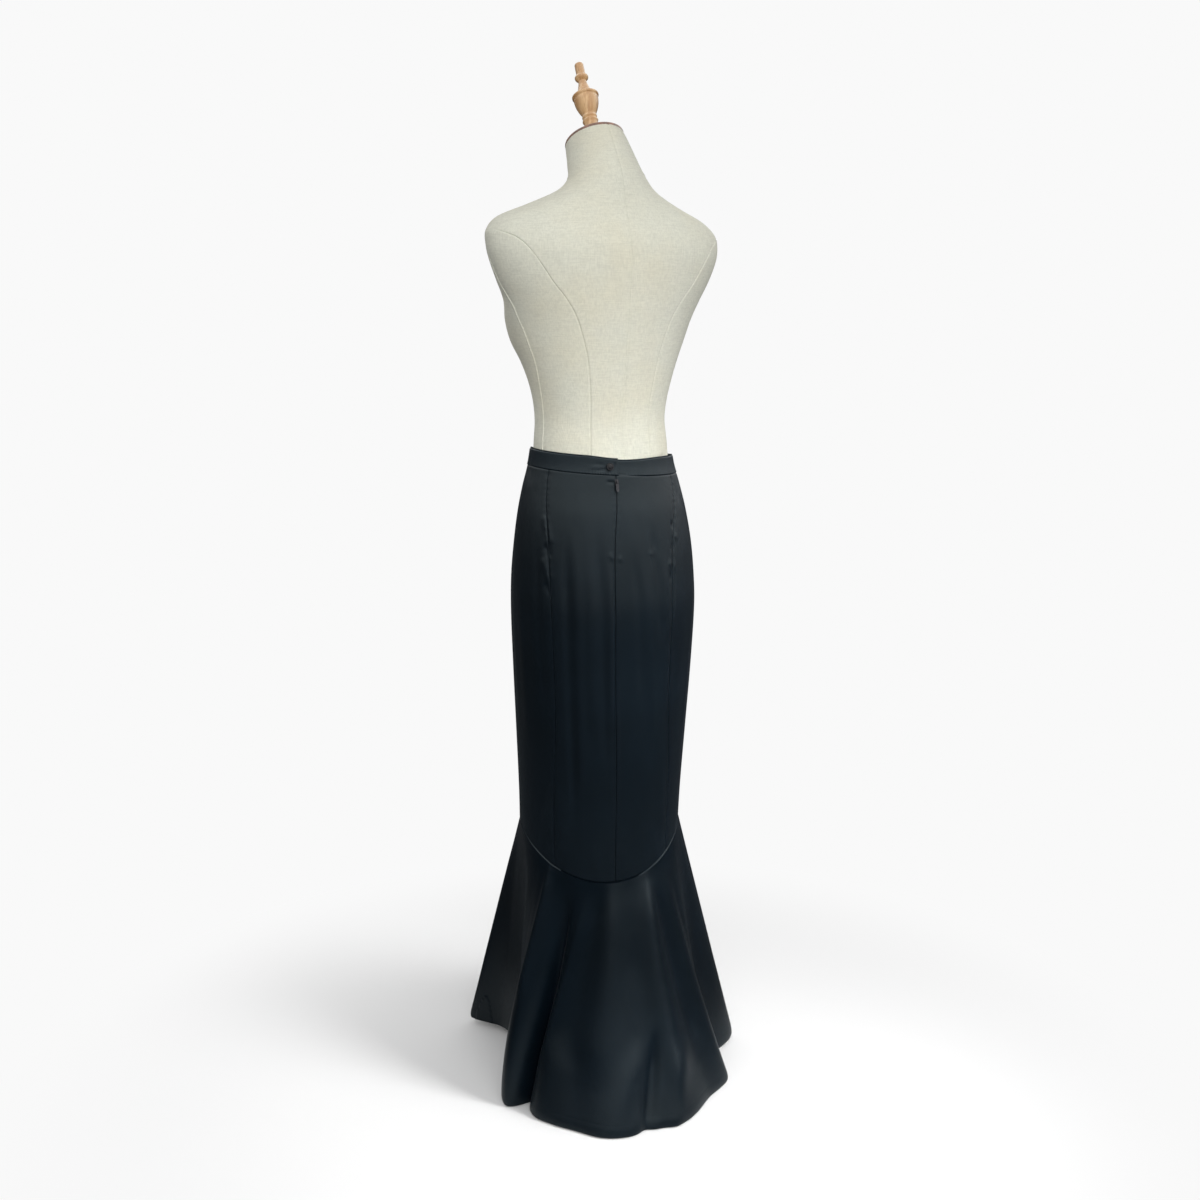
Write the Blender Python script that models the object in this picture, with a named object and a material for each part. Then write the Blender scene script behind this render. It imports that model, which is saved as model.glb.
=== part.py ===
"""Mermaid fishtail skirt of black satin, worn by a limbless linen dress form.

Metres, +Z up.  The form stands on the floor at Z = 0 with its pole on the Z axis, its front
towards -Y and the wearer's left towards +X.  Angles round the form start straight back (+Y)
and grow towards the wearer's left, in degrees.  Pieces keep a gap of 0.3 mm to each other.
"""

import math
from collections import namedtuple

import bmesh
import bpy
from mathutils import Matrix, Vector

GAP = 0.0003                # between neighbouring pieces
FLOUNCE_GAP = 0.0011        # below the curved flounce seam
FLOUNCE_SWELL = 0.10        # how far the flounce swells outward above the floor at the left ridge
CLOTH = 0.0015              # satin with its seam allowances
BAND_WALL = 0.0020          # folded and stiffened waistband
BAND_PROUD = 0.0006         # the band lies this much outside the panels
BAND_SIDE_TOP = 1.0410      # top edge of the band at the side seams
BAND_SIDE_BOTTOM = 1.0150
BAND_TOP_TILT = 0.0060      # the band sits askew, higher at the wearer's left
BAND_BOTTOM_TILT = 0.0070
BAND_BACK_DIP = 0.0062      # and lower at the centre back
BAND_END_DIP = 0.0040       # the under end slips below the over end
BAND_END_DROOP = 0.0024     # and the over end hangs a little from its button
BAND_FRONT_DIP = 0.0100     # the band sinks towards the front, from one side over to the other
BAND_FRONT_ANGLE = 207.0
BAND_OVER_END = 7.0         # angle of the end that lies on top
BAND_UNDERLAP = 15.0        # degrees that the under end reaches beneath it
BAND_INSET = BAND_WALL + 0.0005

SEAM_SIDE_HEIGHT = 0.4460   # flounce seam at the sides and the front
SEAM_BACK_DROP = 0.0745     # and how far it dips at the back
SEAM_LOWEST_ANGLE = 16.0
SEAM_CURVE = 1.3            # power of the cosine that bends it

ZIP_LENGTH = 0.120
ZIP_TAPE_WIDTH = 0.022
ZIP_TAPE_WALL = 0.0008
ZIP_TAPE_BEHIND = 0.0010     # the tape hangs this far inside the panels
SLIDER_HEIGHT = 0.9995      # where the pull hangs from the slider
SLIDER_SIZE = (0.0056, 0.0016, 0.0088)
BRIDGE_SIZE = (0.0016, 0.0030, 0.0050)
BRIDGE_OPENING = (0.0017, 0.0028)
PULL_LENGTH = 0.0155
PULL_WIDTH = 0.0048
PULL_WALL = 0.0010
PULL_EYE = (0.0028, 0.0034)

BUTTON_ANGLE = 13.7
BUTTON_RADIUS = 0.0058
BUTTON_SHANK = 0.0010       # the thread lifts it this much off the band

NECK_TILT = 0.45            # rise of the slanted neck top, towards the back
CAP_WALL = 0.0040
POLE_RADIUS = 0.0125
BASE_REACH = 0.142
BASE_ARM = 0.052            # width of each of the four feet
BASE_HEIGHT = 0.016
FORM_BOTTOM = 0.740

Section = namedtuple("Section", "height half_width middle back_depth front_depth")

# Every ring is widest at its middle; back and front depths count from the pole's axis.
# The skirt's outside, from the waistband down to below the flounce seam.
SKIRT = (
    Section(1.050, 0.1155, -0.006, 0.0770, 0.0875),
    Section(1.020, 0.1210, -0.006, 0.0810, 0.0905),
    Section(0.990, 0.1295, -0.005, 0.0890, 0.0950),
    Section(0.950, 0.1390, -0.003, 0.1010, 0.0980),
    Section(0.900, 0.1470, -0.001, 0.1110, 0.1005),
    Section(0.850, 0.1515, -0.001, 0.1180, 0.1050),
    Section(0.800, 0.1525, 0.000, 0.1220, 0.1080),
    Section(0.720, 0.1490, -0.001, 0.1190, 0.1130),
    Section(0.600, 0.1410, -0.006, 0.1145, 0.1215),
    Section(0.500, 0.1350, -0.011, 0.1085, 0.1260),
    Section(0.430, 0.1325, -0.014, 0.1050, 0.1290),
    Section(0.360, 0.1295, -0.016, 0.1035, 0.1295),
)

# The bare form, from the flat bottom to the neck.  Under the skirt it stays inside the cloth.
FORM = (
    Section(0.740, 0.1425, 0.000, 0.1120, 0.1020),
    Section(0.800, 0.1450, 0.000, 0.1140, 0.0980),
    Section(0.850, 0.1440, -0.001, 0.1090, 0.0960),
    Section(0.900, 0.1390, -0.001, 0.1010, 0.0920),
    Section(0.950, 0.1300, -0.003, 0.0910, 0.0890),
    Section(0.990, 0.1205, -0.004, 0.0805, 0.0865),
    Section(1.020, 0.1130, -0.006, 0.0735, 0.0830),
    Section(1.060, 0.1095, -0.008, 0.0685, 0.0835),
    Section(1.090, 0.1070, -0.010, 0.0660, 0.0835),
    Section(1.120, 0.1100, -0.009, 0.0690, 0.0860),
    Section(1.150, 0.1172, -0.008, 0.0735, 0.0950),
    Section(1.180, 0.1270, -0.010, 0.0780, 0.1080),
    Section(1.210, 0.1400, -0.015, 0.0825, 0.1220),
    Section(1.240, 0.1505, -0.011, 0.0870, 0.1240),
    Section(1.270, 0.1600, 0.003, 0.0912, 0.1090),
    Section(1.300, 0.1750, 0.008, 0.0948, 0.1000),
    Section(1.330, 0.1875, 0.009, 0.0968, 0.0940),
    Section(1.350, 0.1918, 0.007, 0.0955, 0.0890),
    Section(1.370, 0.1900, 0.002, 0.0900, 0.0820),
    Section(1.390, 0.1700, -0.003, 0.0815, 0.0760),
    Section(1.410, 0.1215, 0.003, 0.0755, 0.0600),
    Section(1.430, 0.0785, 0.012, 0.0710, 0.0440),
    Section(1.450, 0.0600, 0.010, 0.0620, 0.0420),
    Section(1.475, 0.0525, -0.006, 0.0410, 0.0520),
    Section(1.507, 0.0445, -0.028, 0.0165, 0.0725),
)

SeamLine = namedtuple("SeamLine", "height centre_back princess")

# Where the centre-back seam runs, and how far the princess seams lie to each side of it.
SEAM_LINES = (
    SeamLine(1.050, 9.5, 54.0),
    SeamLine(0.990, 9.5, 53.0),
    SeamLine(0.900, 13.5, 43.0),
    SeamLine(0.800, 14.5, 39.5),
    SeamLine(0.650, 14.0, 39.5),
    SeamLine(0.500, 13.0, 44.0),
    SeamLine(0.360, 13.0, 44.0),
)

Fold = namedtuple("Fold", "seam_angle hem_angle hem_reach hem_height")

# Ridges and valleys of the flounce: each runs straight from the seam to the hem.
FOLDS = (
    Fold(-27.0, -52.0, 0.215, 0.002),    # right back ridge
    Fold(-17.0, -33.0, 0.203, 0.002),
    Fold(-8.0, -11.0, 0.219, 0.002),     # soft inner ridge
    Fold(4.0, 3.0, 0.216, 0.002),
    Fold(14.0, 20.0, 0.223, 0.002),      # centre-back ridge
    Fold(23.0, 44.0, 0.205, 0.002),
    Fold(33.0, 66.0, 0.186, 0.002),      # left back ridge
    Fold(46.0, 71.0, 0.150, 0.002),
    Fold(60.0, 78.0, 0.203, 0.002),      # left ridge
    Fold(72.0, 97.0, 0.168, 0.003),
    Fold(84.0, 118.0, 0.150, 0.008),
    Fold(95.0, 138.0, 0.152, 0.012),
    Fold(106.0, 150.0, 0.212, 0.014),
    Fold(117.0, 151.0, 0.290, 0.012),    # left front ridge
    Fold(130.0, 161.0, 0.270, 0.013),
    Fold(152.0, 178.0, 0.192, 0.014),
    Fold(180.0, 197.0, 0.258, 0.014),    # front ridge
    Fold(207.0, 214.0, 0.205, 0.014),
    Fold(232.0, 233.0, 0.256, 0.012),    # right front ridge
    Fold(258.0, 252.0, 0.205, 0.010),
    Fold(282.0, 270.0, 0.257, 0.008),    # right ridge
    Fold(308.0, 290.0, 0.178, 0.003),
)

Turned = namedtuple("Turned", "along radius")

# The finial's turned profile, from its foot on the cap to its tip.
FINIAL = (
    Turned(0.0000, 0.0170),
    Turned(0.0030, 0.0176),
    Turned(0.0060, 0.0160),
    Turned(0.0100, 0.0118),
    Turned(0.0180, 0.0104),
    Turned(0.0255, 0.0104),
    Turned(0.0280, 0.0111),
    Turned(0.0305, 0.0121),
    Turned(0.0328, 0.0112),
    Turned(0.0340, 0.0101),
    Turned(0.0355, 0.0107),
    Turned(0.0370, 0.0115),
    Turned(0.0388, 0.0110),
    Turned(0.0405, 0.0107),
    Turned(0.0435, 0.0120),
    Turned(0.0480, 0.0143),
    Turned(0.0560, 0.0173),
    Turned(0.0640, 0.0188),
    Turned(0.0695, 0.0189),
    Turned(0.0706, 0.0200),
    Turned(0.0725, 0.0206),
    Turned(0.0745, 0.0197),
    Turned(0.0760, 0.0150),
    Turned(0.0790, 0.0115),
    Turned(0.0850, 0.0094),
    Turned(0.0930, 0.0072),
    Turned(0.0985, 0.0063),
    Turned(0.1002, 0.0080),
    Turned(0.1028, 0.0100),
    Turned(0.1056, 0.0105),
    Turned(0.1078, 0.0094),
    Turned(0.1092, 0.0074),
    Turned(0.1180, 0.0070),
    Turned(0.1270, 0.0068),
    Turned(0.1290, 0.0058),
)

FORM_HEIGHTS = (
    [FORM_BOTTOM + step * 0.030 for step in range(21)]
    + [1.355, 1.368, 1.378, 1.387, 1.395, 1.403, 1.412, 1.422, 1.433, 1.445, 1.458, 1.474, 1.490, 1.507]
)


def fit_rows(rows, where):
    """Every column of a table at one place, on a smooth curve through its rows."""
    rows = sorted(rows)
    where = min(max(where, rows[0][0]), rows[-1][0])
    low = max(index for index in range(len(rows) - 1) if rows[index][0] <= where)
    near, far = rows[low], rows[low + 1]
    before, after = rows[max(low - 1, 0)], rows[min(low + 2, len(rows) - 1)]
    span = far[0] - near[0]
    part = (where - near[0]) / span
    values = []
    for column in range(1, len(near)):
        leave = (far[column] - before[column]) / (far[0] - before[0]) * span
        arrive = (after[column] - near[column]) / (after[0] - near[0]) * span
        change = far[column] - near[column]
        curve = 3 * change - 2 * leave - arrive
        twist = leave + arrive - 2 * change
        values.append(near[column] + part * (leave + part * (curve + part * twist)))
    return type(near)(where, *values)


def ramp(value, low, high):
    """0 below low, 1 above high and a soft step between."""
    part = min(max((value - low) / (high - low), 0.0), 1.0)
    return part * part * (3.0 - 2.0 * part)


def mix(first, second, part):
    return first + (second - first) * part


def ring_point(section, angle, height):
    turn = math.radians(angle)
    if math.cos(turn) > 0.0:
        depth = section.back_depth - section.middle
    else:
        depth = section.front_depth + section.middle
    return Vector((section.half_width * math.sin(turn), section.middle + depth * math.cos(turn), height))


def skirt_point(angle, height):
    return ring_point(fit_rows(SKIRT, height), angle, height)


def form_point(angle, height):
    """The bare form: rings that lean with the neck as they rise, and a rounded bust."""
    section = fit_rows(FORM, height)
    point = ring_point(section, angle, height)
    if point.y < 0.0:
        rise = math.exp(-(((height - 1.225) / 0.045) ** 2))
        apart = math.exp(-(((abs(point.x) - 0.078) / 0.045) ** 2))
        point.y -= 0.016 * rise * apart
    lean = NECK_TILT * ramp(height, 1.42, 1.50)
    point.z += lean * (point.y - section.middle)
    return point


def band_dip(angle):
    back = BAND_BACK_DIP * max(math.cos(math.radians(angle)), 0.0)
    return back + BAND_FRONT_DIP * max(math.cos(math.radians(angle - BAND_FRONT_ANGLE)), 0.0)


def band_top(angle):
    end_dip = BAND_END_DIP * ramp(angle, 325.0, 360.0 + BAND_OVER_END - 4.0)
    end_dip += BAND_END_DROOP * ramp(angle, 32.0, 8.0)
    return BAND_SIDE_TOP + BAND_TOP_TILT * math.sin(math.radians(angle)) - band_dip(angle) - end_dip


def band_bottom(angle):
    return BAND_SIDE_BOTTOM + BAND_BOTTOM_TILT * math.sin(math.radians(angle)) - band_dip(angle)


def flounce_seam(angle):
    turn = math.radians(angle - SEAM_LOWEST_ANGLE)
    return SEAM_SIDE_HEIGHT - SEAM_BACK_DROP * max(math.cos(turn), 0.0) ** SEAM_CURVE


def seam_angle(side, height):
    """side counts the seams: 0 centre back, 1 and -1 princess, 2 and -2 side seams, 6 is -2 again."""
    line = fit_rows(SEAM_LINES, height)
    shift = {0: 0.0, 1: line.princess, 2: 90.0}[min(abs(side), 2)]
    if side == 6:
        return line.centre_back + 270.0
    return line.centre_back + math.copysign(shift, side)


def outward(surface, across, down):
    step = 0.001
    along = surface(min(across + step, 1.0), down) - surface(max(across - step, 0.0), down)
    fall = surface(across, min(down + step, 1.0)) - surface(across, max(down - step, 0.0))
    normal = along.cross(fall).normalized()
    here = surface(across, down)
    return normal if normal.dot(Vector((here.x, here.y, 0.0))) > 0.0 else -normal


def material(name, colour, roughness, metallic=0.0):
    made = bpy.data.materials.new(name)
    made.use_nodes = True
    shader = made.node_tree.nodes["Principled BSDF"]
    shader.inputs["Base Color"].default_value = (*colour, 1.0)
    shader.inputs["Roughness"].default_value = roughness
    shader.inputs["Metallic"].default_value = metallic
    return made


def add_object(name, shape, finish, place=None):
    """Turn a bmesh into a named object, smooth but for its sharp edges."""
    bmesh.ops.recalc_face_normals(shape, faces=shape.faces)
    if shape.calc_volume(signed=True) < 0.0:
        bmesh.ops.reverse_faces(shape, faces=shape.faces)
    mesh = bpy.data.meshes.new(name)
    shape.to_mesh(mesh)
    shape.free()
    mesh.shade_smooth()
    mesh.set_sharp_from_angle(angle=math.radians(40.0))
    mesh.materials.append(finish)
    made = bpy.data.objects.new(name, mesh)
    if place is not None:
        made.matrix_world = place
    bpy.context.collection.objects.link(made)
    return made


def bent_slab(name, surface, columns, rows, wall, finish):
    """A flat slab of cloth bent onto a surface, its first layer outside and its second a wall in."""
    shape = bmesh.new()
    bmesh.ops.create_grid(shape, x_segments=columns, y_segments=rows, size=0.5)
    bmesh.ops.solidify(shape, geom=shape.faces[:], thickness=1.0)
    for vertex in shape.verts:
        across, down = vertex.co.x + 0.5, 0.5 - vertex.co.y
        depth = wall if abs(vertex.co.z) > 0.5 else 0.0
        vertex.co = surface(across, down) - outward(surface, across, down) * depth
    return add_object(name, shape, finish)


def closed_loft(name, surface, columns, rows, finish):
    """A tube round the form, closed at both ends by flat faces."""
    shape = bmesh.new()
    bmesh.ops.create_grid(shape, x_segments=columns, y_segments=rows, size=0.5)
    for vertex in shape.verts:
        vertex.co = surface(vertex.co.x + 0.5, 0.5 - vertex.co.y)
    bmesh.ops.remove_doubles(shape, verts=shape.verts, dist=1e-6)
    bmesh.ops.holes_fill(shape, edges=[edge for edge in shape.edges if edge.is_boundary])
    return add_object(name, shape, finish)


def turned(name, profile, steps, finish, place=None):
    """A lathe piece: rows of distance along and radius, spun about its own Z axis."""
    shape = bmesh.new()
    points = [(0.0, profile[0].along)] + [(row.radius, row.along) for row in profile]
    points.append((0.0, profile[-1].along))
    verts = [shape.verts.new((radius, 0.0, along)) for radius, along in points]
    edges = [shape.edges.new(pair) for pair in zip(verts, verts[1:])]
    bmesh.ops.spin(
        shape, geom=verts + edges, cent=(0, 0, 0), axis=(0, 0, 1),
        angle=math.tau, steps=steps, use_merge=True,
    )
    bmesh.ops.remove_doubles(shape, verts=shape.verts, dist=1e-6)
    return add_object(name, shape, finish, place)


def skirt_panel(name, first_seam, last_seam, columns, rows, finish):
    """One panel between two seams, from under the waistband to the flounce seam."""
    def surface(across, down):
        top_angle = mix(seam_angle(first_seam, 1.0), seam_angle(last_seam, 1.0), across)
        bottom_angle = mix(seam_angle(first_seam, 0.4), seam_angle(last_seam, 0.4), across)
        top = band_bottom(top_angle) - GAP
        bottom = flounce_seam(bottom_angle) + GAP / 2.0
        height = mix(top, bottom, down)
        trim = math.degrees(GAP / 2.0 / fit_rows(SKIRT, height).back_depth)
        first = seam_angle(first_seam, height) + trim
        last = seam_angle(last_seam, height) - trim
        return skirt_point(mix(first, last, across), height)
    return bent_slab(name, surface, columns, rows, CLOTH, finish)


def fold_line(angle):
    """Where a line of the flounce that leaves the seam at this angle meets the hem."""
    wrapped = [
        Fold(row.seam_angle + turn, row.hem_angle + turn, row.hem_reach, row.hem_height)
        for turn in (-360.0, 0.0, 360.0) for row in FOLDS
    ]
    return fit_rows(wrapped, angle)


def flounce_panel(name, seams, columns, rows, finish):
    """One flounce piece, hung from the seam between the first and the last of some seam angles."""
    def surface(across, down):
        place = across * (len(seams) - 1)
        index = min(int(place), len(seams) - 2)
        angle = mix(seams[index], seams[index + 1], place - index)
        trim = math.degrees(GAP / 2.0 / 0.12)
        angle = min(max(angle, seams[0] + trim), seams[-1] - trim)
        line = fold_line(angle)
        start = skirt_point(angle, flounce_seam(angle) - FLOUNCE_GAP + GAP / 2.0)
        turn = math.radians(line.hem_angle)
        hem = Vector((line.hem_reach * math.sin(turn), line.hem_reach * math.cos(turn), line.hem_height))
        swell = FLOUNCE_SWELL * math.exp(-(((line.hem_angle - 80.0) / 16.0) ** 2)) * down ** 2 * (1.0 - down)
        return start.lerp(hem, down) + hem.to_2d().normalized().to_3d() * swell
    return bent_slab(name, surface, columns, rows, CLOTH, finish)


def waistband(finish):
    """One strip round the waist whose under end slips beneath its over end."""
    last = 360.0 + BAND_OVER_END + BAND_UNDERLAP

    def surface(across, down):
        angle = mix(BAND_OVER_END, last, across)
        height = mix(band_top(angle), band_bottom(angle), down)
        inset = BAND_INSET * ramp(angle, 345.0, 360.0 + BAND_OVER_END - 1.5)
        section = fit_rows(SKIRT, height)
        grow = BAND_PROUD - inset
        grown = section._replace(
            half_width=section.half_width + grow,
            back_depth=section.back_depth + grow,
            front_depth=section.front_depth + grow,
        )
        return ring_point(grown, angle, height)
    return bent_slab("waistband", surface, 96, 1, BAND_WALL, finish)


def surface_frame(angle, height, out):
    """A frame on the skirt: X to the wearer's left, Y out of the cloth and Z up along it."""
    step = 0.001
    here = skirt_point(angle, height)
    up = (skirt_point(angle, height + step) - skirt_point(angle, height - step)).normalized()
    side = (skirt_point(angle + 0.1, height) - skirt_point(angle - 0.1, height)).normalized()
    out_of = up.cross(side).normalized()
    side = out_of.cross(up)
    place = Matrix((side, out_of, up)).transposed().to_4x4()
    place.translation = here + out_of * out
    return place


def zip_tape(finish):
    top = band_bottom(seam_angle(0, 1.0)) - GAP

    def surface(across, down):
        height = mix(top, top - ZIP_LENGTH, down)
        section = fit_rows(SKIRT, height)
        half = math.degrees(ZIP_TAPE_WIDTH / 2.0 / section.half_width)
        angle = seam_angle(0, height) + mix(-half, half, across)
        place = surface_frame(angle, height, -(CLOTH + ZIP_TAPE_BEHIND))
        return place.translation
    return bent_slab("zip_tape", surface, 4, 10, ZIP_TAPE_WALL, finish)


def box(shape, size, centre):
    matrix = Matrix.Translation(centre) @ Matrix.Diagonal((*size, 1.0))
    return bmesh.ops.create_cube(shape, size=1.0, matrix=matrix)["verts"]


def cutter(name, size, centre, place):
    """A block that only cuts: it is drawn as a wire and is no part of the object."""
    shape = bmesh.new()
    box(shape, size, centre)
    made = add_object(name, shape, None, place)
    made.hide_render = True
    made.display_type = "WIRE"
    return made


def boolean(target, tool, operation):
    change = target.modifiers.new(tool.name, "BOOLEAN")
    change.operation = operation
    change.object = tool


def zip_slider(finish, place):
    """A small plate on the slit, with a bridge that the pull hangs from."""
    width, wall, height = SLIDER_SIZE
    shape = bmesh.new()
    box(shape, SLIDER_SIZE, (0.0, GAP + wall / 2.0, 0.0))
    upright = [edge for edge in shape.edges if abs(edge.verts[0].co.y - edge.verts[1].co.y) > wall / 2.0]
    bmesh.ops.bevel(
        shape, geom=upright, offset=0.0016, segments=3, profile=0.5, affect="EDGES", material=-1,
    )
    plate = add_object("zip_slider", shape, finish, place)
    bridge_wide, bridge_out, bridge_high = BRIDGE_SIZE
    start = GAP + wall - 0.0003
    bridge = cutter("slider_bridge", BRIDGE_SIZE, (0.0, start + bridge_out / 2.0, 0.0), place)
    open_out, open_high = BRIDGE_OPENING
    opening_size = (bridge_wide * 2.0, open_out, open_high)
    opening = cutter("slider_opening", opening_size, (0.0, hinge_out(), 0.0), place)
    boolean(plate, bridge, "UNION")
    boolean(plate, opening, "DIFFERENCE")
    return plate


def hinge_out():
    """How far the pull's axis stands off the cloth: the middle of the bridge's opening."""
    return GAP + SLIDER_SIZE[1] + BRIDGE_OPENING[0] / 2.0


def zip_pull(finish, place):
    """A flat drop-shaped tab whose eye goes round the slider's bridge; its origin is on the hinge."""
    eye_wide, eye_high = PULL_EYE
    shape = bmesh.new()
    bmesh.ops.create_circle(shape, segments=20, radius=PULL_WIDTH / 2.0, cap_ends=True)
    top = PULL_WALL / 2.0
    for vertex in shape.verts:
        aside, up = vertex.co.x, vertex.co.y
        if up > 0.0:
            up = top - (PULL_WIDTH / 2.0 - up) * 0.6
        else:
            up -= PULL_LENGTH - PULL_WIDTH / 2.0 - top
        vertex.co = (aside, PULL_WALL / 2.0, up)
    pushed = bmesh.ops.extrude_face_region(shape, geom=shape.faces[:])
    for item in pushed["geom"]:
        if isinstance(item, bmesh.types.BMVert):
            item.co.y -= PULL_WALL
    pull = add_object("zip_pull", shape, finish, place)
    eye = cutter("pull_eye", (eye_wide, PULL_WALL * 4.0, eye_high), (0.0, 0.0, -top - eye_high / 2.0), place)
    boolean(pull, eye, "DIFFERENCE")
    return pull


def button(finish):
    """A shallow round button with a raised rim, on the band's over end."""
    height = (band_top(BUTTON_ANGLE) + band_bottom(BUTTON_ANGLE)) / 2.0
    place = surface_frame(BUTTON_ANGLE, height, BAND_PROUD + BUTTON_SHANK)
    lay_down = Matrix.Rotation(-math.pi / 2.0, 4, "X")
    profile = (
        Turned(0.0000, BUTTON_RADIUS * 0.80),
        Turned(0.0008, BUTTON_RADIUS * 0.97),
        Turned(0.0016, BUTTON_RADIUS),
        Turned(0.0024, BUTTON_RADIUS * 0.93),
        Turned(0.0027, BUTTON_RADIUS * 0.78),
        Turned(0.0021, BUTTON_RADIUS * 0.62),
        Turned(0.0020, BUTTON_RADIUS * 0.30),
    )
    return turned("button", profile, 20, finish, place @ lay_down)


def form_torso(finish):
    def surface(across, down):
        place = (1.0 - down) * (len(FORM_HEIGHTS) - 1)
        index = min(int(place), len(FORM_HEIGHTS) - 2)
        height = mix(FORM_HEIGHTS[index], FORM_HEIGHTS[index + 1], place - index)
        return form_point(across * 360.0, height)
    return closed_loft("form_torso", surface, 44, len(FORM_HEIGHTS) - 1, finish)


def neck_frame():
    """The slanted plane that closes the neck: Z leaves it squarely."""
    top = FORM_HEIGHTS[-1]
    section = fit_rows(FORM, top)
    place = Matrix.Rotation(math.atan(NECK_TILT), 4, "X")
    place.translation = Vector((0.0, section.middle, top))
    return place


def neck_cap(finish):
    """A thin plate on the neck with the neck's own outline."""
    place = neck_frame()
    back = place.inverted()

    def surface(across, down):
        point = back @ form_point(across * 360.0, FORM_HEIGHTS[-1])
        point.z = mix(GAP + CAP_WALL, GAP, down)
        return place @ point
    return closed_loft("neck_cap", surface, 44, 1, finish)


def finial(finish):
    place = neck_frame() @ Matrix.Translation((0.0, 0.0, CAP_WALL + 2.0 * GAP))
    return turned("finial", FINIAL, 24, finish, place)


def stand(metal):
    """A four-footed base and a pole, both hidden by the skirt."""
    shape = bmesh.new()
    half = BASE_ARM / 2.0
    outline = []
    for quarter in range(4):
        turn = Matrix.Rotation(quarter * math.pi / 2.0, 3, "Z")
        for corner in ((half, half), (BASE_REACH, half), (BASE_REACH, -half)):
            outline.append(turn @ Vector((corner[0], corner[1], 0.0)))
    # The foot's outer corners of each arm follow the inner corner before it.
    order = [point for quarter in range(4) for point in (
        outline[3 * quarter + 2], outline[3 * quarter + 1], outline[3 * quarter])]
    face = shape.faces.new([shape.verts.new(point) for point in order])
    pushed = bmesh.ops.extrude_face_region(shape, geom=[face])
    for item in pushed["geom"]:
        if isinstance(item, bmesh.types.BMVert):
            item.co.z += BASE_HEIGHT
    corners = [
        edge for edge in shape.edges
        if abs(edge.verts[0].co.z - edge.verts[1].co.z) > BASE_HEIGHT / 2.0
        and edge.verts[0].co.xy.length > BASE_REACH
    ]
    bmesh.ops.bevel(shape, geom=corners, offset=0.012, segments=4, profile=0.5, affect="EDGES", material=-1)
    add_object("stand_base", shape, metal)
    length = FORM_BOTTOM - BASE_HEIGHT - 2.0 * GAP
    shape = bmesh.new()
    bmesh.ops.create_cone(
        shape, cap_ends=True, segments=24, radius1=POLE_RADIUS, radius2=POLE_RADIUS, depth=length,
        matrix=Matrix.Translation((0.0, 0.0, BASE_HEIGHT + GAP + length / 2.0)),
    )
    add_object("stand_pole", shape, metal)


def main():
    for old in list(bpy.data.objects):
        bpy.data.objects.remove(old)
    satin = material("black_satin", (0.014, 0.017, 0.022), 0.42)
    satin_flounce = material("black_satin_flounce", (0.014, 0.017, 0.022), 0.42)
    linen = material("linen", (0.60, 0.60, 0.52), 0.85)
    wood = material("light_wood", (0.58, 0.37, 0.19), 0.45)
    cap_wood = material("dark_wood", (0.25, 0.13, 0.09), 0.50)
    steel = material("stand_steel", (0.05, 0.05, 0.055), 0.45, 0.9)
    nickel = material("zip_nickel", (0.10, 0.10, 0.11), 0.30, 1.0)
    tape = material("zip_tape", (0.015, 0.016, 0.019), 0.80)
    gloss = material("button_black", (0.012, 0.012, 0.014), 0.15)

    skirt_panel("front_panel", 2, 6, 24, 14, satin)
    skirt_panel("side_back_left", 1, 2, 6, 14, satin)
    skirt_panel("centre_back_left", 0, 1, 6, 14, satin)
    skirt_panel("centre_back_right", -1, 0, 6, 14, satin)
    skirt_panel("side_back_right", -2, -1, 6, 14, satin)
    waistband(satin)
    low = 0.40
    back_seams = [seam_angle(side, low) for side in (-2, -1, 0, 1, 2)]
    front_seams = [mix(seam_angle(2, low), seam_angle(6, low), part / 4.0) for part in range(5)]
    flounce_panel("flounce_back", back_seams, 48, 9, satin_flounce)
    flounce_panel("flounce_front", front_seams, 48, 9, satin_flounce)

    zip_tape(tape)
    slider_angle = seam_angle(0, SLIDER_HEIGHT)
    zip_slider(nickel, surface_frame(slider_angle, SLIDER_HEIGHT, 0.0))
    zip_pull(nickel, surface_frame(slider_angle, SLIDER_HEIGHT, hinge_out()))
    button(gloss)

    form_torso(linen)
    neck_cap(cap_wood)
    finial(wood)
    stand(steel)


main()
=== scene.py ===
"""Looks of a black satin mermaid skirt on a limbless linen dress form.

Metres, +Z up.  The form stands on the floor at Z = 0, its front towards -Y and the wearer's left
towards +X.  Angles round the form start straight back (+Y) and grow towards the wearer's left.
"""

import math
from collections import namedtuple

import bmesh
import bpy
import numpy as np
from bpy.props import FloatProperty, FloatVectorProperty, IntProperty, PointerProperty
from mathutils import Euler, Matrix, Vector


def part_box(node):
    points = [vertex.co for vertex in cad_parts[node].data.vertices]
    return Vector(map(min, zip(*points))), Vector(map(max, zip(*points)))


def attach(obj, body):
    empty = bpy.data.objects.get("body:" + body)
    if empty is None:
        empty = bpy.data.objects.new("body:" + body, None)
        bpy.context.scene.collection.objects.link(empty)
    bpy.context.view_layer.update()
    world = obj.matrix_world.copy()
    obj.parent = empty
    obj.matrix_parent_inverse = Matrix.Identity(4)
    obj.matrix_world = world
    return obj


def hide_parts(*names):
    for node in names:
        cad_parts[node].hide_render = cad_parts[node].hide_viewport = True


bl_info = {
    "name": "Mermaid skirt on a dress form",
    "version": (1, 0, 0),
    "blender": (4, 5, 0),
    "location": "View3D > Sidebar > Mermaid Skirt",
    "description": "Satin fishtail skirt, linen dress form and studio around a packed frame",
    "category": "Object",
}

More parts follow.
